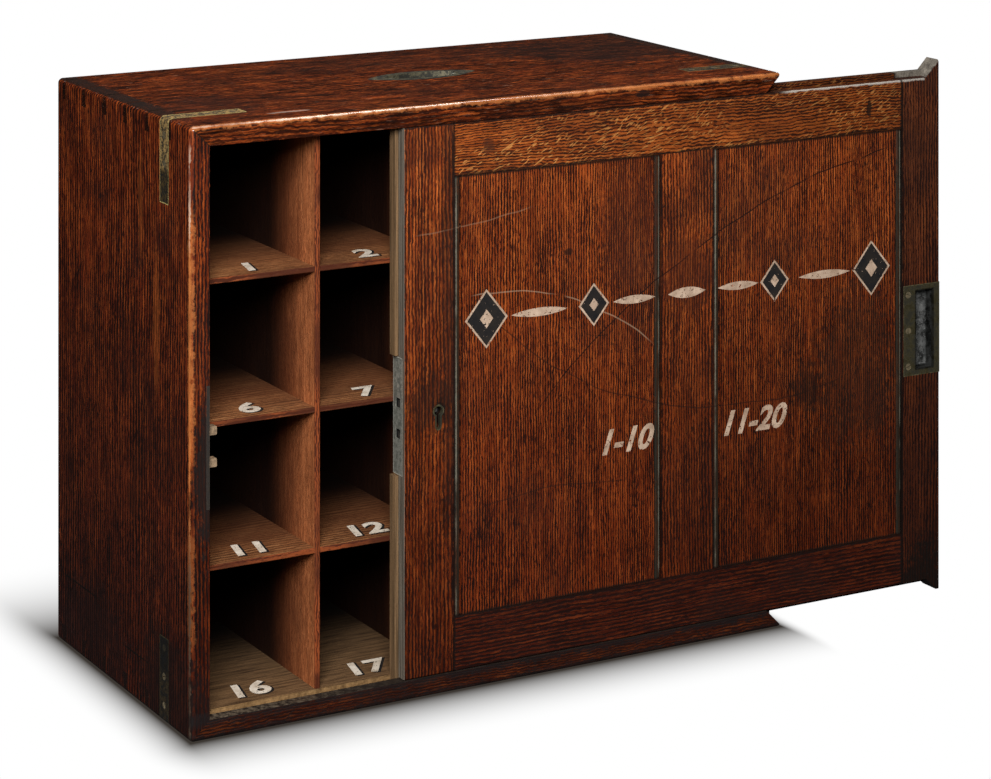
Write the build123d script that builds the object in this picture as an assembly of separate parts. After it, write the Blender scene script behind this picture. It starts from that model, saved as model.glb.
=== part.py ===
from build123d import *
import math
import os

# Desk letter box: a dovetailed oak case of pigeonholes behind a panelled sliding door.
# Millimetres. +X runs right along the front, +Y runs back, +Z runs up.
# The origin is the centre of the case's underside. The door stands part open, to the right.

os.makedirs("parts", exist_ok=True)

# ---------------------------------------------------------------- case
case_width = 531.0
case_depth = 268.5
case_height = 457.0
board = 15.5              # thickness of the top, the bottom and the sides
edge_round = 4.0          # worn round on every outside edge of the case

lip = 9.6                 # wood left in front of the door's groove
groove_width = 9.2
groove_depth = 4.5        # in the top and the bottom
side_groove_depth = 4.0   # in the left side, which the closed door enters

pin_pitch = 42.5          # dovetail pins along each corner
first_pin = 40.0          # middle of the front pin, back from the front face
pin_narrow = 4.6          # width of a pin at the outside of the side board
pin_wide = 8.4            # width of a pin at the inside of the joint
pin_margin = 5.0          # least wood between a pin and the end of the joint

# ---------------------------------------------------------------- back
back_thickness = 9.0
back_rebate = 7.5         # how far the back is let in to each case board
back_boards = 3
back_gap = 0.4            # between two back boards
back_fit = 0.2            # round the back in its rebate
back_screw_columns = 3
back_screw_edge = 14.0
back_screw_length = 7.5

# ---------------------------------------------------------------- pigeonholes
columns = 5
rows = 4
divider_thickness = 4.5
shelf_thickness = 4.2
housing_depth = 3.0       # how far the thin boards are let in to the case
crate_clearance = 0.3     # from the door's groove to the front of the thin boards
crate_round = 0.8         # eased front edges of the thin boards

# ---------------------------------------------------------------- door
door_open = 163.0         # how far the door stands open
door_recess = 0.3         # door's face, back from the case's front
tongue_play = 0.3         # front and back of the tongue in its groove
tongue_gap_top = 0.5      # over the tongue
tongue_gap_bottom = 0.3   # under the tongue
face_gap = 0.6            # over and under the door's face
closing_gap = 0.4         # from the closed door to the left side
left_tongue = 3.0         # how far the tongue stands out of the lock stile
lock_clearing = 1.0       # above and below the lock, where that tongue is cut away
lip_gap = 0.4             # between the mitres of the closed door and the case
foot_trim = 6.0           # height of the pull stile's lower tip above the table

lock_stile_width = 44.0
pull_stile_width = 41.0
top_rail_width = 41.2
bottom_rail_width = 42.2
muntin_width = 51.3
tenon_thickness = 6.0
tenon_length = 22.0
tenon_shoulder = 7.5      # at the top and the bottom of each tenon
stub_length = 16.0        # of the muntin's tenons
stub_shoulder = 8.0       # at each side of them
arris_round = 0.9         # eased front edges of the door

panel_thickness = 12.0
panel_tongue = 5.6        # thickness of the panel's edge in its groove
panel_groove = 6.0
panel_groove_depth = 5.0
panel_tongue_length = 4.4
panel_gap = 0.25          # round the face of a panel
bead_width = 5.0          # on the two long edges of a panel
quirk_width = 1.1
quirk_depth = 2.0
bead_round = 1.8

# ---------------------------------------------------------------- fittings
screw_fit = 0.1           # between a screw and its hole

strap_width = 16.3
strap_arm = 65.0
strap_thickness = 1.6
strap_front = 41.0        # front edge of a strap, back from the case's front
strap_inner_round = 1.4
strap_screws_in_arm = 3
strap_first_screw = 13.4  # out from the corner
strap_screw_pitch = 21.7

small_head = 5.6
small_shank = 2.8
small_length = 12.0
tiny_head = 4.2
tiny_shank = 2.2
slot_width = 0.8
slot_depth = 0.8

lock_centre_height = 217.5
selvedge_height = 91.0
selvedge_width = 15.2
selvedge_thickness = 2.2
link_spacing = 24.0       # between the two links
link_rise = 10.0          # of the upper link above the lock's middle
link_reach = 9.3
link_height = 6.6
link_thickness = 6.4      # front to back
link_hole = 3.6
link_tip = 1.7            # metal left at the end of a link's hole
link_play = 0.4           # round a link in the lock
link_plate_thickness = 2.6
link_plate_height = 92.0
link_screw_edge = 9.0
link_screw_length = 12.5
link_nose_round = 1.0

lock_plate_width = 38.0
lock_plate_height = 76.0
lock_plate_thickness = 2.0
lock_case_depth = 10.6
lock_case_wall = 1.2
lock_case_width = 33.0    # from behind the selvedge
lock_case_height = 62.0
lock_screw_side = 4.0     # lock plate's screws, in from its sides
lock_screw_end = 3.5      # and from its ends
lock_screw_length = 7.0
bolt_travel = 7.0
bolt_thickness = 3.0
bolt_finger = 3.0
bolt_bar = 4.6
bolt_play = 0.3
bolt_gap = 0.5            # under the links
bolt_link_gap = 0.6       # beyond the links' ends
bolt_head = 4.0           # of the bar above the upper link
arm_height = 3.4
tail_height = 6.0
tail_length = 11.0
tail_rise = 1.0           # tail's underside above the lower link
talon_round = 2.2
talon_back = 3.0          # talon, in from the tail's end
key_pin_back = 30.0       # keyhole, in from the door's edge
key_pin_rise = 2.0        # above the lock's middle
key_pin_width = 3.6
key_pin_set_back = 5.0    # its nose, behind the door's face
keyhole_round = 7.0
keyhole_slot = 3.2
keyhole_drop = 13.5       # from the middle of the round to the slot's foot
escutcheon_wall = 1.4
escutcheon_depth = 3.0
guide_width = 3.0         # of the block that keeps the bolt upright
guide_gap = 1.0           # at the guide's foot and head
spring_thickness = 0.6
spring_width = 5.0
spring_play = 0.3         # from the bolt
spring_foot = 1.5         # above the raised bolt's tail
spring_rest = 8.0         # length that lies along the bolt
spring_end = 4.0          # length that lies against the lock's wall
spring_head = 2.0         # under the lock's ceiling

pull_plate_width = 37.8
pull_plate_height = 76.6
pull_plate_thickness = 1.6
pull_edge = 1.0           # wood between the plate and the stile's outer edge
pull_centre_height = 228.5
pull_cup_width = 18.0
pull_cup_height = 66.0
pull_cup_depth = 9.0
pull_cup_edge = 6.8       # plate between the cup and the plate's outer edge
pull_wall = 1.0
pull_screw_edge = 5.0     # in from the plate's inner edge
pull_screw_end = 8.0      # and from its ends
pull_screw_length = 11.0
pull_screws_count = 3

handle_beyond = 13.0      # of the plate past each end of its pocket
handle_width = 40.0
handle_plate_thickness = 2.4
handle_tip_round = 3.0
pocket_beyond = 8.5       # of the pocket past the middle of each eye of the bail
pocket_width = 28.0
pocket_depth = 9.0        # from the top of the case
pocket_wall = 1.2
bail_rod = 4.4
bail_span = 59.0          # between the middles of the bail's two eyes
bail_bow = 9.6            # from the pivots to the middle of the grip
bail_axis_depth = 3.5     # pivots, down from the top of the case
bail_eye_width = 5.8
bail_eye_length = 4.8
bail_pin_width = 2.4
bail_pin_clearance = 0.05
bail_end_gap = 0.3        # between an eye and the solid end of the pocket
bail_pin_reach = 4.0      # of a pivot pin into the solid end of the pocket
handle_screw_in = 8.0     # from each tip of the plate

# ---------------------------------------------------------------- worked out
front = -case_depth / 2
rear = case_depth / 2
left = -case_width / 2
right = case_width / 2
inner_left = left + board
inner_right = right - board
ceiling = case_height - board
door_bay = lip + groove_width
tongue_thickness = groove_width - 2 * tongue_play
tongue_front = front + lip + tongue_play
door_face = front + door_recess
door_rear = tongue_front + tongue_thickness
door_left = inner_left + closing_gap + door_open
door_right = right + door_open
door_bottom = board + face_gap
door_top = ceiling - face_gap
tongue_bottom = board - groove_depth + tongue_gap_bottom
tongue_top = ceiling + groove_depth - tongue_gap_top
back_front = rear - back_thickness
crate_front = front + door_bay + crate_clearance
far = 2 * (case_width + case_depth + case_height)


def block(x0, x1, y0, y1, z0, z1):
    return Pos((x0 + x1) / 2, (y0 + y1) / 2, (z0 + z1) / 2) * Box(x1 - x0, y1 - y0, z1 - z0)


def front_prism(points, y0, y1):
    """A solid with an outline drawn on the front (x, z), running from y0 back to y1."""
    outline = Polyline(*[(x, y0, z) for x, z in points], close=True)
    return extrude(make_face(outline), amount=y1 - y0, dir=(0, 1, 0))


def side_prism(points, x0, x1):
    """A solid with an outline drawn on the side (y, z), running from x0 right to x1."""
    outline = Polyline(*[(x0, y, z) for y, z in points], close=True)
    return extrude(make_face(outline), amount=x1 - x0, dir=(1, 0, 0))


def write(shape, node):
    export_step(shape, f"parts/{node}.step")


def screw(head, shank, length, fit=0.0):
    """A countersunk screw with its head's face at the origin, pointing down -Z."""
    depth = (head - shank) / 2
    cone = Pos(0, 0, -depth / 2) * Cone(shank / 2 + fit, head / 2 + fit, depth)
    body = Pos(0, 0, -(length + fit) / 2) * Cylinder(shank / 2 + fit, length + fit)
    return cone + body


def slotted(head, shank, length, turn):
    slot = Rot(0, 0, turn) * Pos(0, 0, -slot_depth / 2) * Box(head + 1, slot_width, slot_depth)
    return screw(head, shank, length) - slot


def rounded_case(shift=0.0):
    form = block(left, right, front, rear, 0, case_height)
    return Pos(shift, 0, 0) * fillet(form.edges(), edge_round)


# ---------------------------------------------------------------- case boards
case_form = rounded_case()


def pin_places():
    places = []
    y = front + first_pin
    while y + pin_wide / 2 + pin_margin < rear:
        places.append(y)
        y += pin_pitch
    return places


def pins(x0, x1, base, tip):
    """The dovetail pins of the top or the bottom board at one side, from height base out to tip."""
    shapes = []
    for y in pin_places():
        wide = pin_wide / 2
        narrow = pin_narrow / 2
        outline = [(y - wide, base), (y + wide, base), (y + narrow, tip), (y - narrow, tip)]
        shapes.append(side_prism(outline, x0, x1))
    return shapes


left_pins_top = pins(left, inner_left, ceiling, case_height)
left_pins_bottom = pins(left, inner_left, board, 0)
right_pins_top = pins(inner_right, right, ceiling, case_height)
right_pins_bottom = pins(inner_right, right, board, 0)

joint_front = front + door_bay
door_channel = block(inner_left - side_groove_depth, right + board, front + lip, joint_front,
                     board - groove_depth, ceiling + groove_depth)
back_opening = block(left + back_rebate, right - back_rebate, back_front, rear + board,
                     back_rebate, case_height - back_rebate)


def row_height():
    return (ceiling - board - (rows - 1) * shelf_thickness) / rows


def column_width():
    return (inner_right - inner_left - (columns - 1) * divider_thickness) / columns


def divider_left(number):
    return inner_left + (number + 1) * column_width() + number * divider_thickness


def shelf_bottom(number):
    return board + (number + 1) * row_height() + number * shelf_thickness


def divider_block(number):
    x = divider_left(number)
    return block(x, x + divider_thickness, crate_front, back_front,
                 board - housing_depth, ceiling + housing_depth)


def shelf_block(number):
    z = shelf_bottom(number)
    return block(inner_left - housing_depth, inner_right + housing_depth, crate_front, back_front,
                 z, z + shelf_thickness)


def ease_crate(form, along):
    return fillet(form.edges().filter_by(along).group_by(Axis.Y)[0], crate_round)


divider_blocks = [divider_block(number) for number in range(columns - 1)]
shelf_blocks = [shelf_block(number) for number in range(rows - 1)]


# ---------------------------------------------------------------- corner straps
def strap(side, level):
    """A brass angle: side is -1 at the left or 1 at the right, level 0 below or 1 above."""
    x_out = left if side < 0 else right
    z_out = case_height if level else 0
    x_in = x_out - side * strap_arm
    x_thin = x_out - side * strap_thickness
    down = -1 if level else 1
    z_in = z_out + down * strap_arm
    z_thin = z_out + down * strap_thickness
    outline = [(x_out, z_out), (x_in, z_out), (x_in, z_thin),
               (x_thin, z_thin), (x_thin, z_in), (x_out, z_in)]
    form = front_prism(outline, front + strap_front, front + strap_front + strap_width)
    inner = [edge for edge in form.edges().filter_by(Axis.Y)
             if abs(edge.center().X - x_thin) < 0.01 and abs(edge.center().Z - z_thin) < 0.01]
    return fillet(inner, strap_inner_round) & case_form


def strap_screw_spots():
    """Where each strap screw goes: its place on the surface and the way it is turned."""
    spots = []
    y = front + strap_front + strap_width / 2
    for side in (-1, 1):
        for level in (0, 1):
            x_out = left if side < 0 else right
            z_out = case_height if level else 0
            down = -1 if level else 1
            for number in range(strap_screws_in_arm):
                along = strap_first_screw + number * strap_screw_pitch
                tilt = 0 if level else 180
                spots.append(Pos(x_out - side * along, y, z_out) * Rot(tilt, 0, 0))
                spots.append(Pos(x_out, y, z_out + down * along) * Rot(0, 90 * side, 0))
    return spots


strap_names = {(-1, 0): "strap_bottom_left", (-1, 1): "strap_top_left",
               (1, 0): "strap_bottom_right", (1, 1): "strap_top_right"}
straps = {name: strap(*place) for place, name in strap_names.items()}
strap_spots = strap_screw_spots()
strap_holes = [spot * screw(small_head, small_shank, small_length, screw_fit) for spot in strap_spots]

# ---------------------------------------------------------------- carrying handle
def lozenge(length, width, z0, z1):
    """A pointed oval prism round the middle of the top, from two equal arcs."""
    radius = (length ** 2 / 4 + width ** 2 / 4) / width
    offset = radius - width / 2
    upper = Pos(0, -offset, (z0 + z1) / 2) * Cylinder(radius, z1 - z0)
    lower = Pos(0, offset, (z0 + z1) / 2) * Cylinder(radius, z1 - z0)
    form = upper & lower
    tips = form.edges().filter_by(Axis.Z)
    return fillet(tips, handle_tip_round)


pocket_length = bail_span + 2 * pocket_beyond
handle_length = pocket_length + 2 * handle_beyond
handle_screw_back = handle_length / 2 - handle_screw_in
pocket_floor = case_height - pocket_depth
plate_underside = case_height - handle_plate_thickness
bail_axis = case_height - bail_axis_depth
handle_outside = lozenge(handle_length, handle_width, plate_underside, case_height)
pocket_outside = lozenge(pocket_length + 2 * pocket_wall, pocket_width + 2 * pocket_wall,
                         pocket_floor - pocket_wall, plate_underside)
pocket_hollow = lozenge(pocket_length, pocket_width, pocket_floor, case_height)

handle_spots = [Pos(side * handle_screw_back, 0, case_height) for side in (-1, 1)]
handle_holes = [spot * screw(tiny_head, tiny_shank, small_length, screw_fit) for spot in handle_spots]


eye_end = bail_span / 2 + bail_eye_length / 2
pocket_end = eye_end + bail_end_gap
pocket_ends = [block(min(side * pocket_end, side * far), max(side * pocket_end, side * far),
                     -far, far, pocket_floor, case_height) for side in (-1, 1)]


def pivot(side, radius):
    """A round bar on the bail's axis, through one eye and into the end of the pocket."""
    inside = bail_span / 2 - bail_eye_length / 2
    outside = pocket_end + bail_pin_reach
    middle = side * (inside + outside) / 2
    return Pos(middle, 0, bail_axis) * Rot(0, 90, 0) * Cylinder(radius, outside - inside)


handle_plate = handle_outside + pocket_outside - (pocket_hollow - pocket_ends[0] - pocket_ends[1])
for side in (-1, 1):
    handle_plate = handle_plate - pivot(side, bail_pin_width / 2)
for hole in handle_holes:
    handle_plate = handle_plate - hole

# The grip lies to the front of its pivots when it is folded.
bail_half = bail_span / 2
bail_start = (-bail_half, 0, bail_axis)
bail_path = ThreePointArc(bail_start, (0, -bail_bow, bail_axis), (bail_half, 0, bail_axis))
bail_section = Plane(origin=bail_start, z_dir=bail_path % 0) * Circle(bail_rod / 2)
handle_bail = sweep(bail_section, path=bail_path)
for side in (-1, 1):
    eye = Rot(0, 90, 0) * Cylinder(bail_eye_width / 2, bail_eye_length)
    handle_bail = handle_bail + Pos(side * bail_half, 0, bail_axis) * eye
for side in (-1, 1):
    handle_bail = handle_bail - pivot(side, bail_pin_width / 2 + bail_pin_clearance)


# ---------------------------------------------------------------- link plate on the left side
link_plate_bottom = lock_centre_height - link_plate_height / 2
link_plate_top = lock_centre_height + link_plate_height / 2
link_middle = door_rear - selvedge_width / 2
link_high = lock_centre_height + link_rise
link_heights = [link_high, link_high - link_spacing]
link_plate_rear = front + door_bay

link_plate = block(inner_left - link_plate_thickness, inner_left, front, link_plate_rear,
                   link_plate_bottom, link_plate_top)
link_screw_spots = [Pos(inner_left, link_middle, z) * Rot(0, 90, 0)
                    for z in (link_plate_bottom + link_screw_edge, link_plate_top - link_screw_edge)]
link_holes = [spot * screw(tiny_head, tiny_shank, link_screw_length, screw_fit) for spot in link_screw_spots]


def link(height):
    """A flat staple riveted through the plate, with an upright hole for the bolt's finger."""
    body = block(inner_left - link_plate_thickness, inner_left + link_reach,
                 link_middle - link_thickness / 2, link_middle + link_thickness / 2,
                 height - link_height / 2, height + link_height / 2)
    nose = body.edges().filter_by(Axis.Y).group_by(Axis.X)[-1]
    body = fillet(nose, link_nose_round)
    hole_right = inner_left + link_reach - link_tip
    hole = block(hole_right - link_hole, hole_right, link_middle - link_hole / 2, link_middle + link_hole / 2,
                 height - link_height, height + link_height)
    return body - hole


links = [link(height) for height in link_heights]
for staple in links:
    link_plate = link_plate - staple
for hole in link_holes:
    link_plate = link_plate - hole

# ---------------------------------------------------------------- cut the case boards
cuts = divider_blocks + shelf_blocks + list(straps.values()) + strap_holes
cuts = cuts + [door_channel, back_opening, handle_outside, pocket_outside, link_plate] + links
cuts = cuts + handle_holes + link_holes

mitre_top = [(left, case_height), (right, case_height), (inner_right, ceiling), (inner_left, ceiling)]
mitre_bottom = [(left, 0), (right, 0), (inner_right, board), (inner_left, board)]
mitre_left = [(left, 0), (left, case_height), (inner_left, ceiling), (inner_left, board)]


def carve(shape, tools):
    for tool in tools:
        shape = shape - tool
    return shape


case_top = block(inner_left, inner_right, joint_front, rear, ceiling, case_height)
case_top = case_top + front_prism(mitre_top, front, joint_front)
for pin in left_pins_top + right_pins_top:
    case_top = case_top + pin

case_bottom = block(inner_left, inner_right, joint_front, rear, 0, board)
case_bottom = case_bottom + front_prism(mitre_bottom, front, joint_front)
for pin in left_pins_bottom + right_pins_bottom:
    case_bottom = case_bottom + pin

case_left_side = block(left, inner_left, joint_front, rear, 0, case_height)
case_left_side = case_left_side + front_prism(mitre_left, front, joint_front)
case_left_side = carve(case_left_side, left_pins_top + left_pins_bottom)

case_right_side = block(inner_right, right, joint_front, rear, 0, case_height)
case_right_side = carve(case_right_side, right_pins_top + right_pins_bottom)

write(carve(case_top & case_form, cuts), "case_top")
write(carve(case_bottom & case_form, cuts), "case_bottom")
write(carve(case_left_side & case_form, cuts), "case_left_side")
write(carve(case_right_side & case_form, cuts), "case_right_side")

for name, shape in straps.items():
    write(carve(shape, strap_holes), name)
strap_screws = [spot * slotted(small_head, small_shank, small_length, 37 * number)
                for number, spot in enumerate(strap_spots)]
write(Compound(children=strap_screws), "strap_screws")

write(link_plate, "link_plate")
write(Compound(children=links), "link_staples")
link_screws = [spot * slotted(tiny_head, tiny_shank, link_screw_length, 25 + 60 * number)
               for number, spot in enumerate(link_screw_spots)]
write(Compound(children=link_screws), "link_screws")

write(handle_plate, "handle_plate")
write(handle_bail, "handle_bail")
pivot_pins = [pivot(side, bail_pin_width / 2) for side in (-1, 1)]
write(Compound(children=pivot_pins), "handle_pins")
handle_screws = [spot * slotted(tiny_head, tiny_shank, small_length, 70 - 50 * number)
                 for number, spot in enumerate(handle_spots)]
write(Compound(children=handle_screws), "handle_screws")

# ---------------------------------------------------------------- back boards
back_low = back_rebate + back_fit
back_high = case_height - back_rebate - back_fit
back_left = left + back_rebate + back_fit
back_right = right - back_rebate - back_fit
back_board_height = (back_high - back_low - (back_boards - 1) * back_gap) / back_boards
back_screw_shapes = []
for number in range(back_boards):
    z0 = back_low + number * (back_board_height + back_gap)
    panel = block(back_left, back_right, back_front, rear, z0, z0 + back_board_height)
    for step in range(back_screw_columns):
        share = step / (back_screw_columns - 1)
        x = back_left + back_screw_edge + share * (back_right - back_left - 2 * back_screw_edge)
        for z in (z0 + back_screw_edge, z0 + back_board_height - back_screw_edge):
            spot = Pos(x, rear, z) * Rot(-90, 0, 0)
            panel = panel - spot * screw(small_head, small_shank, back_screw_length, screw_fit)
            back_screw_shapes.append(spot * slotted(small_head, small_shank, back_screw_length, 29 * step))
    write(panel, f"back_board_{number + 1}")
write(Compound(children=back_screw_shapes), "back_screws")

# ---------------------------------------------------------------- dividers and shelves, halved together
crate_middle = (crate_front + back_front) / 2

for number in range(columns - 1):
    divider = ease_crate(divider_blocks[number], Axis.Z)
    for shelf_number in range(rows - 1):
        z = shelf_bottom(shelf_number)
        divider = divider - block(-far, far, crate_middle, rear, z, z + shelf_thickness)
    write(divider, f"divider_{number + 1}")

for number in range(rows - 1):
    shelf = ease_crate(shelf_blocks[number], Axis.X)
    for divider_number in range(columns - 1):
        x = divider_left(divider_number)
        shelf = shelf - block(x, x + divider_thickness, front, crate_middle, -far, far)
    write(shelf, f"shelf_{number + 1}")

# ---------------------------------------------------------------- door frame
lock_stile_right = door_left + lock_stile_width
pull_stile_left = door_right - pull_stile_width
panel_width = (pull_stile_left - lock_stile_right - muntin_width) / 2
muntin_left = lock_stile_right + panel_width
muntin_right = muntin_left + muntin_width
rail_low = door_bottom + bottom_rail_width
rail_high = door_top - top_rail_width
panel_middle = (door_face + door_rear) / 2
groove_front = panel_middle - panel_groove / 2
groove_rear = panel_middle + panel_groove / 2
tenon_front = panel_middle - tenon_thickness / 2
tenon_rear = panel_middle + tenon_thickness / 2
lip_left = inner_right + door_open + lip_gap

above_face = block(-far, far, door_face - 1, tongue_front, door_top, far)
below_face = block(-far, far, door_face - 1, tongue_front, -far, door_bottom)


def tenon(x0, x1, z0, z1):
    return block(x0, x1, tenon_front, tenon_rear, z0, z1)


def near(value, goal):
    return abs(value - goal) < 0.01


def front_edges(shape, test):
    """Edges on the door's face that pass the test, which is given each edge and its middle."""
    found = []
    for edge in shape.edges():
        middle = edge.center()
        if near(middle.Y, door_face) and test(edge, middle):
            found.append(edge)
    return found


def ease_front(shape, test):
    return fillet(front_edges(shape, test), arris_round)


top_tenon = (rail_high + tenon_shoulder, door_top - tenon_shoulder)
bottom_tenon = (door_bottom + tenon_shoulder, rail_low - tenon_shoulder)
groove_tool = block(lock_stile_right - panel_groove_depth, pull_stile_left + panel_groove_depth,
                    groove_front, groove_rear, rail_low - panel_groove_depth, rail_high + panel_groove_depth)
muntin_tenon = (muntin_left + stub_shoulder, muntin_right - stub_shoulder)


def rail(z0, z1, z_tongue0, z_tongue1, tenon_span, muntin_span):
    shape = block(lock_stile_right, pull_stile_left, door_face, door_rear, z0, z1)
    shape = shape + block(lock_stile_right, pull_stile_left, tongue_front, door_rear, z_tongue0, z_tongue1)
    shape = shape - groove_tool
    shape = shape + tenon(lock_stile_right - tenon_length, lock_stile_right, *tenon_span)
    shape = shape + tenon(pull_stile_left, pull_stile_left + tenon_length, *tenon_span)
    return shape - tenon(*muntin_tenon, *muntin_span)


top_stub = (rail_high, rail_high + stub_length)
bottom_stub = (rail_low - stub_length, rail_low)
top_rail = rail(rail_high, door_top, rail_high, tongue_top, top_tenon, top_stub)
top_rail = ease_front(top_rail, lambda edge, m: near(m.Z, door_top))
bottom_rail = rail(door_bottom, rail_low, tongue_bottom, rail_low, bottom_tenon, bottom_stub)
bottom_rail = ease_front(bottom_rail, lambda edge, m: near(m.Z, door_bottom))
write(top_rail, "door_top_rail")
write(bottom_rail, "door_bottom_rail")

muntin = block(muntin_left, muntin_right, door_face, door_rear, rail_low, rail_high) - groove_tool
muntin = muntin + block(muntin_left + panel_groove_depth, muntin_right - panel_groove_depth,
                        groove_front, groove_rear, rail_low, rail_high)
muntin = muntin + tenon(*muntin_tenon, rail_high, rail_high + stub_length)
muntin = muntin + tenon(*muntin_tenon, rail_low - stub_length, rail_low)
write(muntin, "door_muntin")


# ---------------------------------------------------------------- door panels
def panel(x0, x1):
    """A flush panel with a bead down each long edge and a tongue all round."""
    face_left = x0 + panel_gap
    face_right = x1 - panel_gap
    face_rear = door_face + panel_thickness
    shape = block(face_left, face_right, door_face, face_rear, rail_low + panel_gap, rail_high - panel_gap)
    for inward, edge in ((1, face_left), (-1, face_right)):
        start = edge + inward * bead_width
        end = start + inward * quirk_width
        low = min(start, end)
        high = max(start, end)
        shape = shape - block(low, high, door_face - 1, door_face + quirk_depth, -far, far)
    beads = front_edges(shape, lambda edge, m: edge.length > 4 * bead_width and (
        m.X - face_left < bead_width + 0.1 or face_right - m.X < bead_width + 0.1))
    shape = fillet(beads, bead_round)
    slack = panel_groove_depth - panel_tongue_length
    edge_front = panel_middle - panel_tongue / 2
    edge_rear = panel_middle + panel_tongue / 2
    tongue = block(x0 - panel_tongue_length, x1 + panel_tongue_length, edge_front, edge_rear,
                   rail_low - panel_groove_depth + slack, rail_high + panel_groove_depth - slack)
    behind = block(x0 - board, x1 + board, edge_rear, rear, 0, case_height)
    return (shape - behind) + tongue


write(panel(lock_stile_right, muntin_left), "door_panel_left")
write(panel(muntin_right, pull_stile_left), "door_panel_right")

# ---------------------------------------------------------------- link lock in the door's left edge
selvedge_rear = door_rear
selvedge_front = selvedge_rear - selvedge_width
selvedge_low = lock_centre_height - selvedge_height / 2
selvedge_high = lock_centre_height + selvedge_height / 2
selvedge_inside = door_left + selvedge_thickness
plate_low = lock_centre_height - lock_plate_height / 2
plate_high = lock_centre_height + lock_plate_height / 2
plate_right = door_left + lock_plate_width
plate_front = door_rear - lock_plate_thickness
case_right = selvedge_inside + lock_case_width
case_front = plate_front - lock_case_depth
case_low = lock_centre_height - lock_case_height / 2
case_high = lock_centre_height + lock_case_height / 2

link_half = link_thickness / 2 + link_play
link_openings = [block(door_left - 1, selvedge_inside + lock_case_wall + 1,
                       link_middle - link_half, link_middle + link_half,
                       z - link_height / 2 - link_play, z + link_height / 2 + link_play)
                 for z in link_heights]
lock_screw_places = [(x, z) for x in (selvedge_inside + lock_screw_side, plate_right - lock_screw_side)
                     for z in (plate_high - lock_screw_end, plate_low + lock_screw_end)]
lock_screw_spots = [Pos(x, door_rear, z) * Rot(-90, 0, 0) for x, z in lock_screw_places]
lock_holes = [spot * screw(tiny_head, tiny_shank, lock_screw_length, screw_fit) for spot in lock_screw_spots]

lock_plate = block(door_left, selvedge_inside, selvedge_front, selvedge_rear, selvedge_low, selvedge_high)
lock_plate = lock_plate + block(door_left, plate_right, plate_front, door_rear, plate_low, plate_high)
lock_plate = carve(lock_plate, link_openings + lock_holes)

key_x = door_left + key_pin_back
key_pin_height = lock_centre_height + key_pin_rise


def keyhole(wall, y0, y1):
    """A round with a slot below it, grown by wall all round."""
    round_part = Pos(key_x, (y0 + y1) / 2, key_pin_height) * Rot(90, 0, 0)
    round_part = round_part * Cylinder(keyhole_round / 2 + wall, y1 - y0)
    half = keyhole_slot / 2 + wall
    foot_z = key_pin_height - keyhole_drop + keyhole_slot / 2
    slot = block(key_x - half, key_x + half, y0, y1, foot_z, key_pin_height)
    foot = Pos(key_x, (y0 + y1) / 2, foot_z) * Rot(90, 0, 0) * Cylinder(half, y1 - y0)
    return round_part + slot + foot


lock_shell = block(selvedge_inside, case_right, case_front, plate_front, case_low, case_high)
lock_hollow = block(selvedge_inside + lock_case_wall, case_right - lock_case_wall,
                    case_front + lock_case_wall, plate_front,
                    case_low + lock_case_wall, case_high - lock_case_wall)
lock_case = lock_shell - lock_hollow
lock_case = carve(lock_case, link_openings)
lock_case = lock_case - keyhole(0, case_front - 1, case_front + lock_case_wall + 1)

key_pin_foot = plate_front
key_pin_nose = door_face + key_pin_set_back
key_pin = Pos(key_x, (key_pin_foot + key_pin_nose) / 2, key_pin_height) * Rot(90, 0, 0)
key_pin = key_pin * Cylinder(key_pin_width / 2, key_pin_foot - key_pin_nose)

# The bolt is one flat plate: a bar beside the links, two fingers that rise through them, and a tail.
finger_right = door_left - closing_gap + link_reach - link_tip - (link_hole - bolt_finger) / 2
finger_left = finger_right - bolt_finger
bar_left = door_left - closing_gap + link_reach + bolt_link_gap
bar_right = bar_left + bolt_bar
bolt_front = link_middle - bolt_thickness / 2
bolt_rear = link_middle + bolt_thickness / 2
bar_high = link_high + bolt_head
bar_low = 0
bolt = None
for z in link_heights:
    finger_top = z - link_height / 2 - bolt_gap
    arm_top = z - link_height / 2 - bolt_travel - bolt_gap
    piece = block(finger_left, finger_right, bolt_front, bolt_rear, arm_top - arm_height, finger_top)
    piece = piece + block(finger_left, bar_left, bolt_front, bolt_rear, arm_top - arm_height, arm_top)
    bolt = piece if bolt is None else bolt + piece
    bar_low = arm_top - arm_height
bolt = bolt + block(bar_left, bar_right, bolt_front, bolt_rear, bar_low, bar_high)
tail_low = link_high - link_spacing + tail_rise
tail_right = bar_right + tail_length
bolt = bolt + block(bar_right, tail_right, bolt_front, bolt_rear, tail_low, tail_low + tail_height)
talon = Pos(tail_right - talon_back, link_middle, tail_low) * Rot(90, 0, 0)
talon = talon * Cylinder(talon_round, board)
bolt = bolt - talon

guide_front = case_front + lock_case_wall
bolt_guide = block(bar_right + bolt_play, bar_right + bolt_play + guide_width, guide_front, plate_front,
                   bar_low + guide_gap, tail_low - guide_gap)
spring_anchor = case_right - lock_case_wall
spring_left = bar_right + spring_play
spring_low = tail_low + tail_height + bolt_travel + spring_foot
spring_bend = spring_low + spring_rest
spring_high = case_high - lock_case_wall - spring_head
spring_outline = [(spring_left, spring_low), (spring_left, spring_bend),
                  (spring_anchor - spring_end, spring_high + spring_thickness),
                  (spring_anchor, spring_high + spring_thickness), (spring_anchor, spring_high),
                  (spring_anchor - spring_end, spring_high),
                  (spring_left + spring_thickness, spring_bend - spring_thickness),
                  (spring_left + spring_thickness, spring_low)]
spring = front_prism(spring_outline, link_middle - spring_width / 2, link_middle + spring_width / 2)

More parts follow.
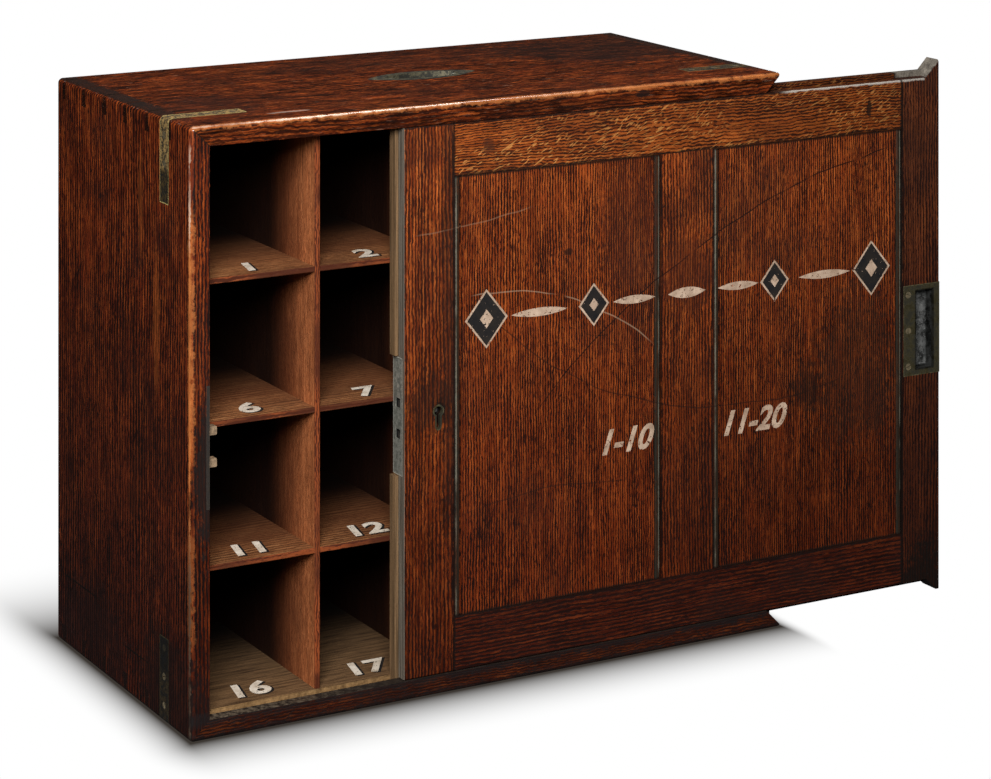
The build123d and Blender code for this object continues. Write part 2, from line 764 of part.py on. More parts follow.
write(lock_plate, "lock_plate")
write(lock_case, "lock_case")
write(bolt, "lock_bolt")
write(Compound(children=[key_pin, bolt_guide]), "lock_pins")
write(spring, "lock_spring")
lock_screws = [spot * slotted(tiny_head, tiny_shank, lock_screw_length, 40 * number)
               for number, spot in enumerate(lock_screw_spots)]
write(Compound(children=lock_screws), "lock_screws")
escutcheon = keyhole(escutcheon_wall, door_face, door_face + escutcheon_depth)
escutcheon = escutcheon - keyhole(0, door_face - 1, door_face + escutcheon_depth + 1)
write(escutcheon, "keyhole_escutcheon")

# ---------------------------------------------------------------- flush pull
pull_right = door_right - pull_edge
pull_left = pull_right - pull_plate_width
pull_low = pull_centre_height - pull_plate_height / 2
pull_high = pull_centre_height + pull_plate_height / 2
cup_right = pull_right - pull_cup_edge
cup_left = cup_right - pull_cup_width
cup_low = pull_centre_height - pull_cup_height / 2
cup_high = pull_centre_height + pull_cup_height / 2
cup_rear = door_face + pull_cup_depth

pull_outside = block(pull_left, pull_right, door_face, door_face + pull_plate_thickness, pull_low, pull_high)
pull_back = block(cup_left - pull_wall, cup_right + pull_wall, door_face + pull_plate_thickness,
                  cup_rear + pull_wall, cup_low - pull_wall, cup_high + pull_wall)
pull_hollow = block(cup_left, cup_right, door_face - 1, cup_rear, cup_low, cup_high)
pull_spots = []
for number in range(pull_screws_count):
    share = number / (pull_screws_count - 1)
    z = pull_low + pull_screw_end + share * (pull_plate_height - 2 * pull_screw_end)
    pull_spots.append(Pos(pull_left + pull_screw_edge, door_face, z) * Rot(90, 0, 0))
pull_holes = [spot * screw(small_head, small_shank, pull_screw_length, screw_fit) for spot in pull_spots]
write(carve(pull_outside + pull_back, [pull_hollow] + pull_holes), "pull_plate")
pull_screws = [spot * slotted(small_head, small_shank, pull_screw_length, 15 + 75 * number)
               for number, spot in enumerate(pull_spots)]
write(Compound(children=pull_screws), "pull_screws")

# ---------------------------------------------------------------- stiles
lock_stile = block(door_left, lock_stile_right, door_face, door_rear, tongue_bottom, tongue_top)
lock_stile = lock_stile - above_face - below_face
for z0, z1 in ((tongue_bottom, selvedge_low - lock_clearing), (selvedge_high + lock_clearing, tongue_top)):
    lock_stile = lock_stile + block(door_left - left_tongue, door_left, tongue_front, door_rear, z0, z1)
lock_stile = ease_front(lock_stile, lambda edge, m: (
    near(m.X, door_left) or near(m.Z, door_top) or near(m.Z, door_bottom)))
lock_stile_cuts = [groove_tool, tenon(lock_stile_right - tenon_length, lock_stile_right, *top_tenon),
                   tenon(lock_stile_right - tenon_length, lock_stile_right, *bottom_tenon),
                   block(door_left - 5, selvedge_inside, selvedge_front, selvedge_rear,
                         selvedge_low, selvedge_high),
                   block(door_left - 5, plate_right, plate_front, door_rear, plate_low, plate_high),
                   lock_shell, keyhole(0, door_face - 1, case_front + 1),
                   keyhole(escutcheon_wall, door_face - 1, door_face + escutcheon_depth)]
write(carve(lock_stile, lock_stile_cuts + lock_holes), "door_lock_stile")

lip_outline = [(lip_left, door_top), (lip_left + case_height - door_top, case_height),
               (door_right, case_height), (door_right, foot_trim),
               (lip_left + door_bottom - foot_trim, foot_trim), (lip_left, door_bottom)]
pull_stile = block(pull_stile_left, door_right, door_face, door_rear, door_bottom, door_top)
pull_stile = pull_stile + front_prism(lip_outline, door_face, door_rear)
tongue_top_right = lip_left + tongue_top - door_top
tongue_bottom_right = lip_left + door_bottom - tongue_bottom
pull_stile = pull_stile + block(pull_stile_left, tongue_top_right, tongue_front, door_rear,
                                door_top, tongue_top)
pull_stile = pull_stile + block(pull_stile_left, tongue_bottom_right, tongue_front, door_rear,
                                tongue_bottom, door_bottom)
pull_stile = pull_stile & rounded_case(door_open)
pull_stile_cuts = [groove_tool, tenon(pull_stile_left, pull_stile_left + tenon_length, *top_tenon),
                   tenon(pull_stile_left, pull_stile_left + tenon_length, *bottom_tenon),
                   pull_outside, pull_back]
write(carve(pull_stile, pull_stile_cuts + pull_holes), "door_pull_stile")

print("pigeonhole", round(column_width(), 2), "x", round(row_height(), 2), "x",
      round(back_front - crate_front, 2))
print("door", round(door_right - door_left, 2), "x", round(door_top - door_bottom, 2),
      "x", round(door_rear - door_face, 2), "panel", round(panel_width, 2))
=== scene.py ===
import math

import bmesh
import bpy
import numpy as np
from mathutils import Matrix, Vector


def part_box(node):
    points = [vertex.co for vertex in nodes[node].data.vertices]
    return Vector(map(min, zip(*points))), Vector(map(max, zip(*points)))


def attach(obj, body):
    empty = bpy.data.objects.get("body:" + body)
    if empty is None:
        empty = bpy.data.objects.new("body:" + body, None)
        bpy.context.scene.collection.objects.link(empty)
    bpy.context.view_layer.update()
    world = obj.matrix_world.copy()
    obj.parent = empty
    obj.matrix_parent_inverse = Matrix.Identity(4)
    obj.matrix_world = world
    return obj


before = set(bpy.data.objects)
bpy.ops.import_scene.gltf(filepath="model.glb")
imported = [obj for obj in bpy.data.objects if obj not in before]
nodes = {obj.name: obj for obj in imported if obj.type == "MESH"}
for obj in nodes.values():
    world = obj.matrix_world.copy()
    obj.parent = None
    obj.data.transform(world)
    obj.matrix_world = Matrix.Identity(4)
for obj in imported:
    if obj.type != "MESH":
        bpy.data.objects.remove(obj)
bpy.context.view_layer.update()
print("loaded", len(nodes), "parts of the box")


class Value:  # a socket that plain arithmetic can be written on
    def __init__(self, graph, socket):
        self.graph = graph
        self.socket = socket

    def __add__(self, other):
        return self.graph.maths("ADD", self, other)

    def __radd__(self, other):
        return self.graph.maths("ADD", other, self)

    def __sub__(self, other):
        return self.graph.maths("SUBTRACT", self, other)

    def __rsub__(self, other):
        return self.graph.maths("SUBTRACT", other, self)

    def __mul__(self, other):
        return self.graph.maths("MULTIPLY", self, other)

    def __rmul__(self, other):
        return self.graph.maths("MULTIPLY", other, self)

    def __truediv__(self, other):
        return self.graph.maths("DIVIDE", self, other)

    def __abs__(self):
        return self.graph.maths("ABSOLUTE", self)


class Graph:  # one material; its lengths are millimetres in the object's own coordinates
    def __init__(self, name):
        self.material = bpy.data.materials.new(name)
        self.material.use_nodes = True
        self.tree = self.material.node_tree
        self.shader = self.tree.nodes["Principled BSDF"]
        place = self.node("ShaderNodeTexCoord", out="Object")
        self.x, self.y, self.z = [
            self.node("ShaderNodeSeparateXYZ", inputs={0: place}, out=axis) * 1000.0 for axis in range(3)
        ]

    def feed(self, socket, content):
        if isinstance(content, Value):
            self.tree.links.new(content.socket, socket)
        elif isinstance(content, tuple) and socket.type == "RGBA":
            socket.default_value = (*content, 1.0)
        else:
            socket.default_value = content

    def node(self, kind, settings=None, inputs=None, out=0):
        made = self.tree.nodes.new(kind)
        for name, content in (settings or {}).items():
            setattr(made, name, content)
        for name, content in (inputs or {}).items():
            self.feed(made.inputs[name], content)
        return Value(self, made.outputs[out])

    def maths(self, operation, *contents):
        return self.node("ShaderNodeMath", {"operation": operation}, dict(enumerate(contents)))

    def least(self, *contents):
        result = contents[0]
        for content in contents[1:]:
            result = self.maths("MINIMUM", result, content)
        return result

    def most(self, *contents):
        result = contents[0]
        for content in contents[1:]:
            result = self.maths("MAXIMUM", result, content)
        return result

    def point(self, x, y, z):
        return self.node("ShaderNodeCombineXYZ", inputs={0: x, 1: y, 2: z})

    def noise(self, point, detail=2.0, rough=0.5):
        inputs = {"Vector": point, "Scale": 1.0, "Detail": detail, "Roughness": rough}
        return self.node("ShaderNodeTexNoise", inputs=inputs)

    def cloud(self, scale, seed, detail=2.0, rough=0.5):  # noise that is the same in all directions
        return self.noise(self.point(self.x * scale, self.y * scale, self.z * scale + seed), detail, rough)

    def step(self, content, low, high):  # 0 at low, 1 at high and smooth between; low may be the larger
        inputs = {"Value": content, "From Min": low, "From Max": high}
        return self.node("ShaderNodeMapRange", {"interpolation_type": "SMOOTHSTEP"}, inputs)

    def spread(self, content, low, high):  # a noise stretched to run from low to high
        inputs = {"Value": content, "From Min": 0.3, "From Max": 0.7, "To Min": low, "To Max": high}
        return self.node("ShaderNodeMapRange", inputs=inputs)

    def oval(self, spot, radii):  # distance from a spot given on some axes, 1 at the oval's rim
        parts = [(getattr(self, axis) - place) / radius
                 for (axis, place), radius in zip(spot.items(), radii)]
        squares = parts[0] * parts[0]
        for part in parts[1:]:
            squares = squares + part * part
        return self.maths("SQRT", squares)

    def mix(self, share, first, second):
        return self.node("ShaderNodeMix", {"data_type": "RGBA"}, {0: share, 6: first, 7: second}, out=2)

    def tint(self, colour, factor):  # the colour made darker or lighter
        return self.node("ShaderNodeVectorMath", {"operation": "SCALE"}, {0: colour, "Scale": factor})

    def filter(self, colour, other):  # the colour seen through a coloured glaze
        return self.node("ShaderNodeVectorMath", {"operation": "MULTIPLY"}, {0: colour, 1: other})

    def finish(self, colour, rough, height=None, metal=0.0, coat=0.0, coatRough=0.2, alpha=1.0,
               specular=0.5):
        self.feed(self.shader.inputs["Base Color"], colour)
        self.feed(self.shader.inputs["Roughness"], rough)
        self.feed(self.shader.inputs["Metallic"], metal)
        self.feed(self.shader.inputs["Coat Weight"], coat)
        self.feed(self.shader.inputs["Alpha"], alpha)
        self.shader.inputs["Coat Roughness"].default_value = coatRough
        self.shader.inputs["Specular IOR Level"].default_value = specular
        if height is not None:
            bump = self.node("ShaderNodeBump", inputs={"Strength": 1.0, "Distance": 0.001, "Height": height})
            self.feed(self.shader.inputs["Normal"], bump)
        return self.material


def edges(node):  # a part's lowest and highest corner in millimetres
    low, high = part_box(node)
    return [value * 1000 for value in low], [value * 1000 for value in high]


def edgeDistance(graph, low, high):  # from a point of a block's surface to the nearest edge of the block
    gaps = [graph.least(value - start, end - value)
            for value, start, end in zip((graph.x, graph.y, graph.z), low, high)]
    first, second, third = gaps
    return graph.most(graph.least(first, second), graph.least(graph.most(first, second), third))


def dress(node, material):
    mesh = nodes[node].data
    mesh.materials.clear()
    mesh.materials.append(material)


def nearLine(graph, spots):  # how far a point is from an edge that is fixed on two axes
    gaps = [abs(getattr(graph, axis) - place) for axis, place in spots.items()]
    return graph.most(*gaps)


lipDepth = 9.6  # wood in front of the door's groove
left, front, bottom = edges("case_left_side")[0]
right, back, top = edges("case_right_side")[1]
innerLeft = edges("case_left_side")[1][0]
innerRight = edges("case_right_side")[0][0]
floorTop = edges("case_bottom")[1][2]
ceiling = edges("case_top")[0][2]
cellFront = edges("divider_1")[0][1]
cellBack = edges("divider_1")[1][1]
doorFace = edges("door_muntin")[0][1]
lipBack = front + lipDepth

oak = {
    "light": (0.30, 0.055, 0.010),
    "dark": (0.12, 0.019, 0.0045),
    "pore": (0.010, 0.002, 0.0012),
    "glowColour": (0.52, 0.135, 0.026),  # of the fibres that catch the light
    "ring": 3.1,  # mm between two lines of pores
    "uneven": 4.0,  # how much their spacing varies
    "open": 0.50,  # where a pore starts, and how softly
    "soft": 0.16,
    "pores": 0.85,
    "pits": (0.12, 0.2),
    "glow": 0.5,
    "glowing": (0.46, 0.66),
    "ticks": (0.57, 0.66),
    "wave": 12.0,  # how far the lines wander and ripple, in mm
    "ripple": 4.0,
    "fleck": 0.0,
    "fleckColour": (0.56, 0.24, 0.065),
    "grime": 0.5,
    "grimed": (0.45, 0.72),
    "grimeColour": (0.018, 0.006, 0.004),
    "spots": 0.75,
    "spotted": (0.73, 0.78),
    "spotColour": (0.010, 0.005, 0.004),
    "mottle": 0.3,
    "rightShade": 1.0,  # painted shade: share of the colour left at the right end
    "below": 1.0,  # painted shade: and at the foot, in a warm tint
    "footShadeTint": (1.0, 0.82, 0.8),
    "seam": 0.0,
    "seamWidth": (1.8, 0.3),
    "seamColour": (0.008, 0.004, 0.003),
    "gloss": 0.45,
    "specular": 0.16,
    "scratches": 0.5,
    "scratchWidth": (0.0022, 0.0008),
    "scratched": (0.55, 0.62),
    "scratchDepth": 0.12,  # in mm, as the dents are
    "scratchColour": (0.014, 0.006, 0.004),
    "dents": 0.35,
    "closeness": 1.0,  # of the lines from front to back
}
axesOfGrain = {
    "x": lambda graph, deep: (graph.x, graph.z + deep, deep - graph.z),
    "z": lambda graph, deep: (graph.z, graph.x + deep, deep - graph.x),
}
strands = {  # noise scales along, across and through the grain, then detail and roughness
    "wander": (0.0045, 0.011, 0.008, 2.0, 0.5),
    "ripple": (0.085, 0.07, 0.05, 2.0, 0.7),
    "ragged": (0.13, 0.8, 0.6, 2.0, 0.6),
    "fine": (0.26, 1.6, 1.1, 1.0, 0.5),
    "broken": (0.02, 0.06, 0.05, 1.0, 0.5),
    "fibre": (0.014, 0.42, 0.4, 3.0, 0.7),
    "broad": (0.0035, 0.021, 0.02, 2.0, 0.5),
    "tick": (0.075, 1.0, 0.9, 1.0, 0.5),
    "mottle": (0.035, 0.13, 0.12, 3.0, 0.65),
    "bend": (0.014, 0.02, 0.02, 1.0, 0.5),
}
boardStride = (371.0, 133.0, 59.0)  # how far apart in the tree two boards are cut


def strand(graph, run, name):
    *scales, detail, rough = strands[name]
    place = [part * scale for part, scale in zip(run, scales)]
    return graph.noise(graph.point(*place), detail, rough)


def rayFlecks(graph, along, flat, through, seed):  # pale slanting flecks, in groups
    slant = flat - along * 0.62 + strand(graph, (along, flat, through), "bend") * 26.0
    group = graph.noise(graph.point(along * 0.014, flat * 0.03, seed), 1.0)
    fleck = graph.noise(graph.point((along + flat * 0.6) * 0.05, slant * 0.62, through * 0.3), 0.0)
    return graph.step(fleck, 0.62, 0.70) * graph.step(group, 0.38, 0.55)


def oakFigure(graph, values, axis, seed):  # bare wood: colour, openness of the pores, relief
    run = axesOfGrain[axis](graph, graph.y * values["closeness"])
    along, flat, through = [part + seed * stride for part, stride in zip(run, boardStride)]
    wander = strand(graph, (along, flat, through), "wander") - 0.5
    ripple = strand(graph, (along, flat, through), "ripple") - 0.5
    across = flat + wander * values["wave"] + ripple * values["ripple"]
    run = (along, across, through)
    spacing = graph.noise(graph.point(across * 0.028, seed, along * 0.0008), 1.0) - 0.5
    ring = across / values["ring"] + spacing * values["uneven"]
    line = abs(graph.maths("FRACT", ring) - 0.5) * 2.0
    ragged = strand(graph, run, "ragged") - 0.5
    fine = strand(graph, run, "fine") - 0.5
    broken = strand(graph, run, "broken") - 0.5
    deep = line + ragged * 1.3 + fine * 0.9 + broken * 0.9
    pores = graph.step(deep, values["open"], values["open"] + values["soft"])
    pores = graph.most(pores, graph.step(fine + ragged * 0.6, *values["pits"]) * 0.8)
    fibre = strand(graph, run, "fibre")
    broad = strand(graph, run, "broad")
    tone = graph.spread(fibre, 0.0, 1.0) * 0.55 + graph.spread(broad, 0.0, 1.0) * 0.45
    colour = graph.mix(tone, values["dark"], values["light"])
    glow = graph.step(fibre - ragged * 0.5 - line * 0.12, *values["glowing"])
    tick = graph.step(strand(graph, run, "tick"), *values["ticks"]) * 0.8
    colour = graph.mix(graph.most(glow, tick) * values["glow"], colour, values["glowColour"])
    if values["fleck"] > 0:
        fleck = rayFlecks(graph, along, flat, through, seed) * values["fleck"]
        pores = pores * (1.0 - fleck * 0.9)
        colour = graph.mix(fleck, colour, values["fleckColour"])
    colour = graph.mix(pores * values["pores"], colour, values["pore"])
    mottle = graph.spread(strand(graph, run, "mottle"), 1.0 - values["mottle"], 1.0 + values["mottle"])
    return graph.tint(colour, mottle), pores, pores * -0.12 + fibre * 0.06


def polishedOak(graph, node, values, axis, seed):  # the figure under old polish, dirt, dents and scratches, with painted shade towards the foot and the right end
    low, high = edges(node)
    colour, pores, relief = oakFigure(graph, values, axis, seed)
    stain = graph.cloud(0.012, seed, 3.0, 0.6)
    grime = graph.step(stain, *values["grimed"]) * values["grime"]
    colour = graph.mix(grime, colour, values["grimeColour"])
    spots = graph.step(graph.cloud(0.11, seed), *values["spotted"]) * values["spots"]
    colour = graph.mix(spots, colour, values["spotColour"])
    ragged = graph.cloud(0.16, seed, 3.0, 0.7)
    rough = values["gloss"] + graph.spread(stain, -0.08, 0.12) + pores * 0.2
    if values["seam"] > 0:
        edge = edgeDistance(graph, low, high) - graph.spread(ragged, -0.6, 1.6)
        seam = graph.step(edge, *values["seamWidth"]) * values["seam"]
        colour = graph.mix(seam, colour, values["seamColour"])
    course = abs(graph.cloud(0.016, seed * 7, 1.0) - 0.5)
    gate = graph.cloud(0.03, seed * 3 + 5, 1.0)
    scratch = graph.step(course, *values["scratchWidth"]) * graph.step(gate, *values["scratched"])
    scratch = scratch * values["scratches"]
    colour = graph.mix(scratch, colour, values["scratchColour"])
    dents = graph.cloud(0.05, seed) * values["dents"]
    relief = relief - scratch * values["scratchDepth"] + dents
    # painted shade: the colour darkens towards the foot, in a warm tint, and towards the right end
    if values["below"] != 1.0:
        footShadeTint = tuple(values["below"] * part for part in values["footShadeTint"])
        colour = graph.mix(graph.step(graph.z, low[2], high[2]), graph.filter(colour, footShadeTint), colour)
    if values["rightShade"] != 1.0:
        share = graph.step(graph.x, low[0], high[0])
        colour = graph.tint(colour, 1.0 - share * (1.0 - values["rightShade"]))
    return colour, rough, relief, ragged


def marked(graph, node, colour, marks, fray, rim):  # the stains and dents listed for one board
    for board, spot, radii, strength, tone in marks:
        if board == node:
            ragged = graph.oval(spot, radii) + fray
            colour = graph.mix(graph.step(ragged, rim, 0.6) * strength, colour, tone)
    return colour


# where the painted shade starts behind the front, and the least share of colour it leaves
depth = {"clear": 4.0, "least": 0.04}


def depthShade(graph, dark):  # painted shade: the cells get darker towards the back
    gloom = graph.step(graph.y, cellFront + depth["clear"], cellFront + dark)
    return 1.0 - gloom * (1.0 - depth["least"])


caseBoards = {
    "case_top": ("x", {"light": (0.25, 0.043, 0.008), "dark": (0.040, 0.006, 0.002), "wave": 20.0,
                       "mottle": 0.9, "ring": 3.0, "glowColour": (0.42, 0.10, 0.019), "closeness": 0.55,
                       "specular": 0.06}),
    "case_bottom": ("x", {"light": (0.070, 0.011, 0.003), "dark": (0.026, 0.005, 0.002), "glow": 0.15,
                          "ring": 2.5}),
    "case_left_side": ("z", {"light": (0.22, 0.032, 0.006), "dark": (0.060, 0.008, 0.0025), "ring": 2.8,
                             "glowColour": (0.46, 0.10, 0.018), "glow": 0.7, "pores": 0.95, "mottle": 0.45,
                             "wave": 8.0, "ripple": 2.0, "below": 0.36, "closeness": 0.6}),
    "case_right_side": ("z", {"light": (0.20, 0.036, 0.009), "pores": 0.8, "mottle": 0.5, "below": 0.6}),
}
caseMarks = [  # board, middle, radii, depth of colour, colour
    ("case_top", {"x": 130.0, "y": front, "z": top - 6.5}, (8.0, 6.0, 3.2), 0.9, (0.012, 0.007, 0.006)),
    ("case_top", {"x": -172.0, "y": front + 26.0}, (20.0, 3.0), 0.55, (0.56, 0.38, 0.30)),
    ("case_top", {"x": -215.0, "y": -60.0}, (40.0, 60.0), 0.45, (0.020, 0.010, 0.008)),
    ("case_top", {"x": 20.0, "y": 90.0}, (150.0, 50.0), 0.4, (0.016, 0.009, 0.007)),
    ("case_top", {"x": 215.0, "y": 60.0}, (110.0, 90.0), 0.65, (0.016, 0.010, 0.008)),
    ("case_left_side", {"x": -252.5, "y": front, "z": 196.0}, (10.0, 7.0, 64.0), 0.9, (0.012, 0.008, 0.007)),
    ("case_left_side", {"y": -90.0, "z": 30.0}, (60.0, 45.0), 0.6, (0.012, 0.005, 0.004)),
    ("case_left_side", {"y": 60.0, "z": 20.0}, (90.0, 50.0), 0.5, (0.016, 0.006, 0.005)),
    ("case_left_side", {"y": 78.0, "z": 57.0}, (46.0, 1.0), 0.9, (0.006, 0.003, 0.002)),
    ("case_left_side", {"y": -30.0, "z": 36.0}, (26.0, 0.9), 0.9, (0.006, 0.003, 0.002)),
    ("case_left_side", {"y": -70.0, "z": 300.0}, (7.0, 60.0), 0.22, (0.42, 0.11, 0.022)),
    ("case_left_side", {"y": -40.0, "z": 385.0}, (5.0, 50.0), 0.22, (0.42, 0.11, 0.022)),
]
frontArrises = [{"y": front + 1.0, "z": top - 0.6}, {"x": left + 0.6, "y": front + 2.6}]
otherArrises = [{"x": left, "z": top}, {"x": right, "z": top}, {"x": left, "y": back},
                {"x": right, "y": back}, {"y": back, "z": top}]
# the front arrises are rubbed and carry painted highlight, pale at the top left and orange down the left
# arris; the other arrises are rubbed grey
caseEdgeWearAndHighlight = {
    "width": 1.0,
    "amount": 0.9,
    # pale painted highlight on the rubbed front arrises, at the left end and near the top
    "pale": (0.70, 0.52, 0.38),
    "paleRun": (left + 420.0, left + 90.0),
    "paleHeight": (355.0, 392.0),
    # the rubbed front arrises darken towards the foot, where the painted highlight fades
    "darkerTone": (0.085, 0.055, 0.036),
    "darkerToneHeight": (190.0, 110.0),
    # orange painted highlight, and the heights where it shows on the front left arris
    "orange": (0.52, 0.17, 0.045),
    "orangeHeights": [((180.0, 250.0), (402.0, 380.0), 1.0), ((60.0, 85.0), (165.0, 145.0), 0.5)],
    "grey": (0.16, 0.145, 0.13),
    "shine": (4.5, 3.0),
    "shineDepth": 0.8,
    "shineRough": 0.14,
}
caseDirtAndGlints = {
    "facing": 0.22,  # how much darker the front edges are
    "endGrain": (0.010, 0.004, 0.003),
    # painted highlight: colour of the glints on the top
    "glint": (0.36, 0.20, 0.13),
    "topDirt": (0.014, 0.006, 0.004),
    "endBand": (21.0, 13.0),
    "bandColour": (0.010, 0.008, 0.006),
    "mitre": (0.012, 0.006, 0.004),
    "lowEdgeDark": (0.010, 0.008, 0.008),
}
caseInside = {
    "lipBlack": (0.020, 0.014, 0.011),
    "lipBare": (0.14, 0.105, 0.07),
    "lipRun": (-60.0, -240.0),
    "grooveDark": (0.10, 0.055, 0.022),
    "grooveLight": (0.34, 0.20, 0.085),
    "dustDark": (0.045, 0.022, 0.010),
    "dustLight": (0.245, 0.135, 0.060),
    "dustPore": (0.03, 0.016, 0.01),
    # how far back the painted shade of the inside reaches its darkest, in mm
    "darkBy": 170.0,
}


# end grain, dirt and painted glints on the top, darker front faces, the dark end band and the mitres
def outsideDirtAndGlints(graph, node, axis, colour, fray):
    if axis == "x":
        ends = graph.step(abs(graph.x), right - 0.9, right - 0.4)
        ends = ends * graph.step(abs(graph.y), -front - 0.6, -front - 1.2)
        colour = graph.mix(ends * 0.85, colour, caseDirtAndGlints["endGrain"])
    if node == "case_top":
        # painted highlight: pale streaks on the top stand in for glints off its relief
        glint = graph.noise(graph.point(graph.x * 0.07, graph.y * 0.30, graph.z + 40.0), 3.0, 0.75)
        colour = graph.mix(graph.step(glint, 0.62, 0.70) * 0.5, colour, caseDirtAndGlints["glint"])
        dirt = graph.noise(graph.point(graph.x * 0.04, graph.y * 0.26, graph.z + 90.0), 4.0, 0.75)
        colour = graph.mix(graph.step(dirt, 0.50, 0.62) * 0.8, colour, caseDirtAndGlints["topDirt"])
    facing = graph.step(graph.y, front + 0.8, front + 0.2)
    colour = graph.tint(colour, 1.0 - facing * caseDirtAndGlints["facing"])
    band = graph.step(right - abs(graph.x) + fray * 3.0, *caseDirtAndGlints["endBand"])
    band = band * graph.step(graph.z, top - 1.2, top - 0.6) * graph.step(graph.y, front + 22.0, front + 44.0)
    colour = graph.mix(band * 0.85, colour, caseDirtAndGlints["bandColour"])
    fromTop = top - graph.z
    mitre = graph.least(abs((graph.x - left) - fromTop), abs((right - graph.x) - fromTop))
    mitre = graph.step(mitre, 0.9, 0.3) * graph.step(graph.y, front + 0.6, front + 0.3)
    return graph.mix(mitre * 0.8, colour, caseDirtAndGlints["mitre"])


# a rubbed arris; on the front arrises it also carries painted highlight
def arrisWearAndHighlight(graph, place, colour, fray, drift, facesFront):
    gap = nearLine(graph, place)
    tone = caseEdgeWearAndHighlight["grey"]
    if facesFront:
        # painted highlight: an orange glow along the front arrises
        glow = graph.step(gap - fray * 1.2, caseEdgeWearAndHighlight["width"] * 3.0, caseEdgeWearAndHighlight["width"]) * 0.5
        if "x" in place:
            spans = [graph.step(graph.z, *start) * graph.step(graph.z, *end) * share
                     for start, end, share in caseEdgeWearAndHighlight["orangeHeights"]]
            glow = glow * graph.most(*spans)
        colour = graph.mix(glow, colour, caseEdgeWearAndHighlight["orange"])
        # painted highlight: the rubbed front arrises turn pale at the top left and darker towards the foot
        pale = graph.step(graph.x, *caseEdgeWearAndHighlight["paleRun"]) * graph.step(graph.z, *caseEdgeWearAndHighlight["paleHeight"])
        tone = graph.mix(pale, caseEdgeWearAndHighlight["orange"], caseEdgeWearAndHighlight["pale"])
        tone = graph.mix(graph.step(graph.z, *caseEdgeWearAndHighlight["darkerToneHeight"]), tone, caseEdgeWearAndHighlight["darkerTone"])
    wearAndPaintedLight = graph.step(gap - fray * 0.45, caseEdgeWearAndHighlight["width"], caseEdgeWearAndHighlight["width"] * 0.4)
    wearAndPaintedLight = wearAndPaintedLight * graph.step(drift, 0.36, 0.56) * caseEdgeWearAndHighlight["amount"]
    return graph.mix(wearAndPaintedLight, colour, tone)


def bottomLip(graph, colour, ragged):  # the black lip with its bare patches, and the ochre groove behind it
    lipTop = graph.step(graph.z, floorTop - 0.6, floorTop - 0.2)
    lipTop = lipTop * graph.step(graph.y, lipBack + 0.4, lipBack)
    bare = graph.step(graph.cloud(0.28, 5.0, 3.0, 0.6), 0.36, 0.66)
    bare = bare * graph.step(graph.x, *caseInside["lipRun"])
    colour = graph.mix(lipTop, colour, graph.mix(bare, caseInside["lipBlack"], caseInside["lipBare"]))
    behindLip = graph.step(graph.y, lipBack - 0.2, lipBack + 0.2)
    groove = behindLip * graph.step(graph.y, cellFront + 0.2, cellFront) * graph.step(graph.z, 6.0, 9.0)
    ochre = graph.mix(graph.spread(ragged, 0.0, 1.0), caseInside["grooveDark"], caseInside["grooveLight"])
    return graph.mix(groove, colour, ochre)


def caseOak(node, axis, changes, seed):
    graph = Graph("oak_" + node)
    values = {**oak, **changes}
    colour, rough, relief, ragged = polishedOak(graph, node, values, axis, seed)
    drift = graph.cloud(0.02, seed * 3)
    fray = graph.spread(ragged, -1.2, 1.8)
    colour = outsideDirtAndGlints(graph, node, axis, colour, fray)
    for place in frontArrises + otherArrises:
        colour = arrisWearAndHighlight(graph, place, colour, fray, drift, place in frontArrises)
    shine = graph.step(nearLine(graph, frontArrises[0]), *caseEdgeWearAndHighlight["shine"])
    colour = marked(graph, node, colour, caseMarks, graph.spread(ragged, -0.35, 0.35), 1.15)
    # darker along the front at the case's foot and at the inside floor's height
    for height in (bottom, floorTop):
        lowEdgeDark = graph.step(nearLine(graph, {"y": front, "z": height}) - fray * 2.0, 6.0, 1.0)
        colour = graph.mix(lowEdgeDark * 0.75, colour, caseDirtAndGlints["lowEdgeDark"])
    if node == "case_bottom":
        colour = bottomLip(graph, colour, ragged)
    inner = graph.least(
        graph.step(graph.y, cellFront - 0.4, cellFront),
        graph.step(graph.y, cellBack + 0.5, cellBack + 0.2),
        graph.step(abs(graph.x), innerRight + 0.5, innerRight + 0.2),
        graph.step(graph.z, floorTop - 0.5, floorTop - 0.2),
        graph.step(graph.z, ceiling + 0.5, ceiling + 0.2),
    )
    streaks = graph.noise(graph.point(graph.x * 0.025, graph.y * 0.35, graph.z * 0.02 + seed), 4.0, 0.7)
    dustAndShade = graph.mix(graph.spread(streaks, 0.0, 1.0), caseInside["dustDark"], caseInside["dustLight"])
    dustAndShade = graph.mix(relief * -3.0, dustAndShade, caseInside["dustPore"])
    # painted shade: the inside darkens towards the back of the cells
    dustAndShade = graph.tint(dustAndShade, depthShade(graph, caseInside["darkBy"]))
    return graph.finish(graph.mix(inner, colour, dustAndShade), rough + inner * 0.2, relief,
                        coat=shine * caseEdgeWearAndHighlight["shineDepth"], coatRough=caseEdgeWearAndHighlight["shineRough"],
                        specular=values["specular"])


for seed, (node, (axis, changes)) in enumerate(caseBoards.items(), 1):
    dress(node, caseOak(node, axis, changes, seed * 1.37))
print("case", len(caseBoards), "boards")

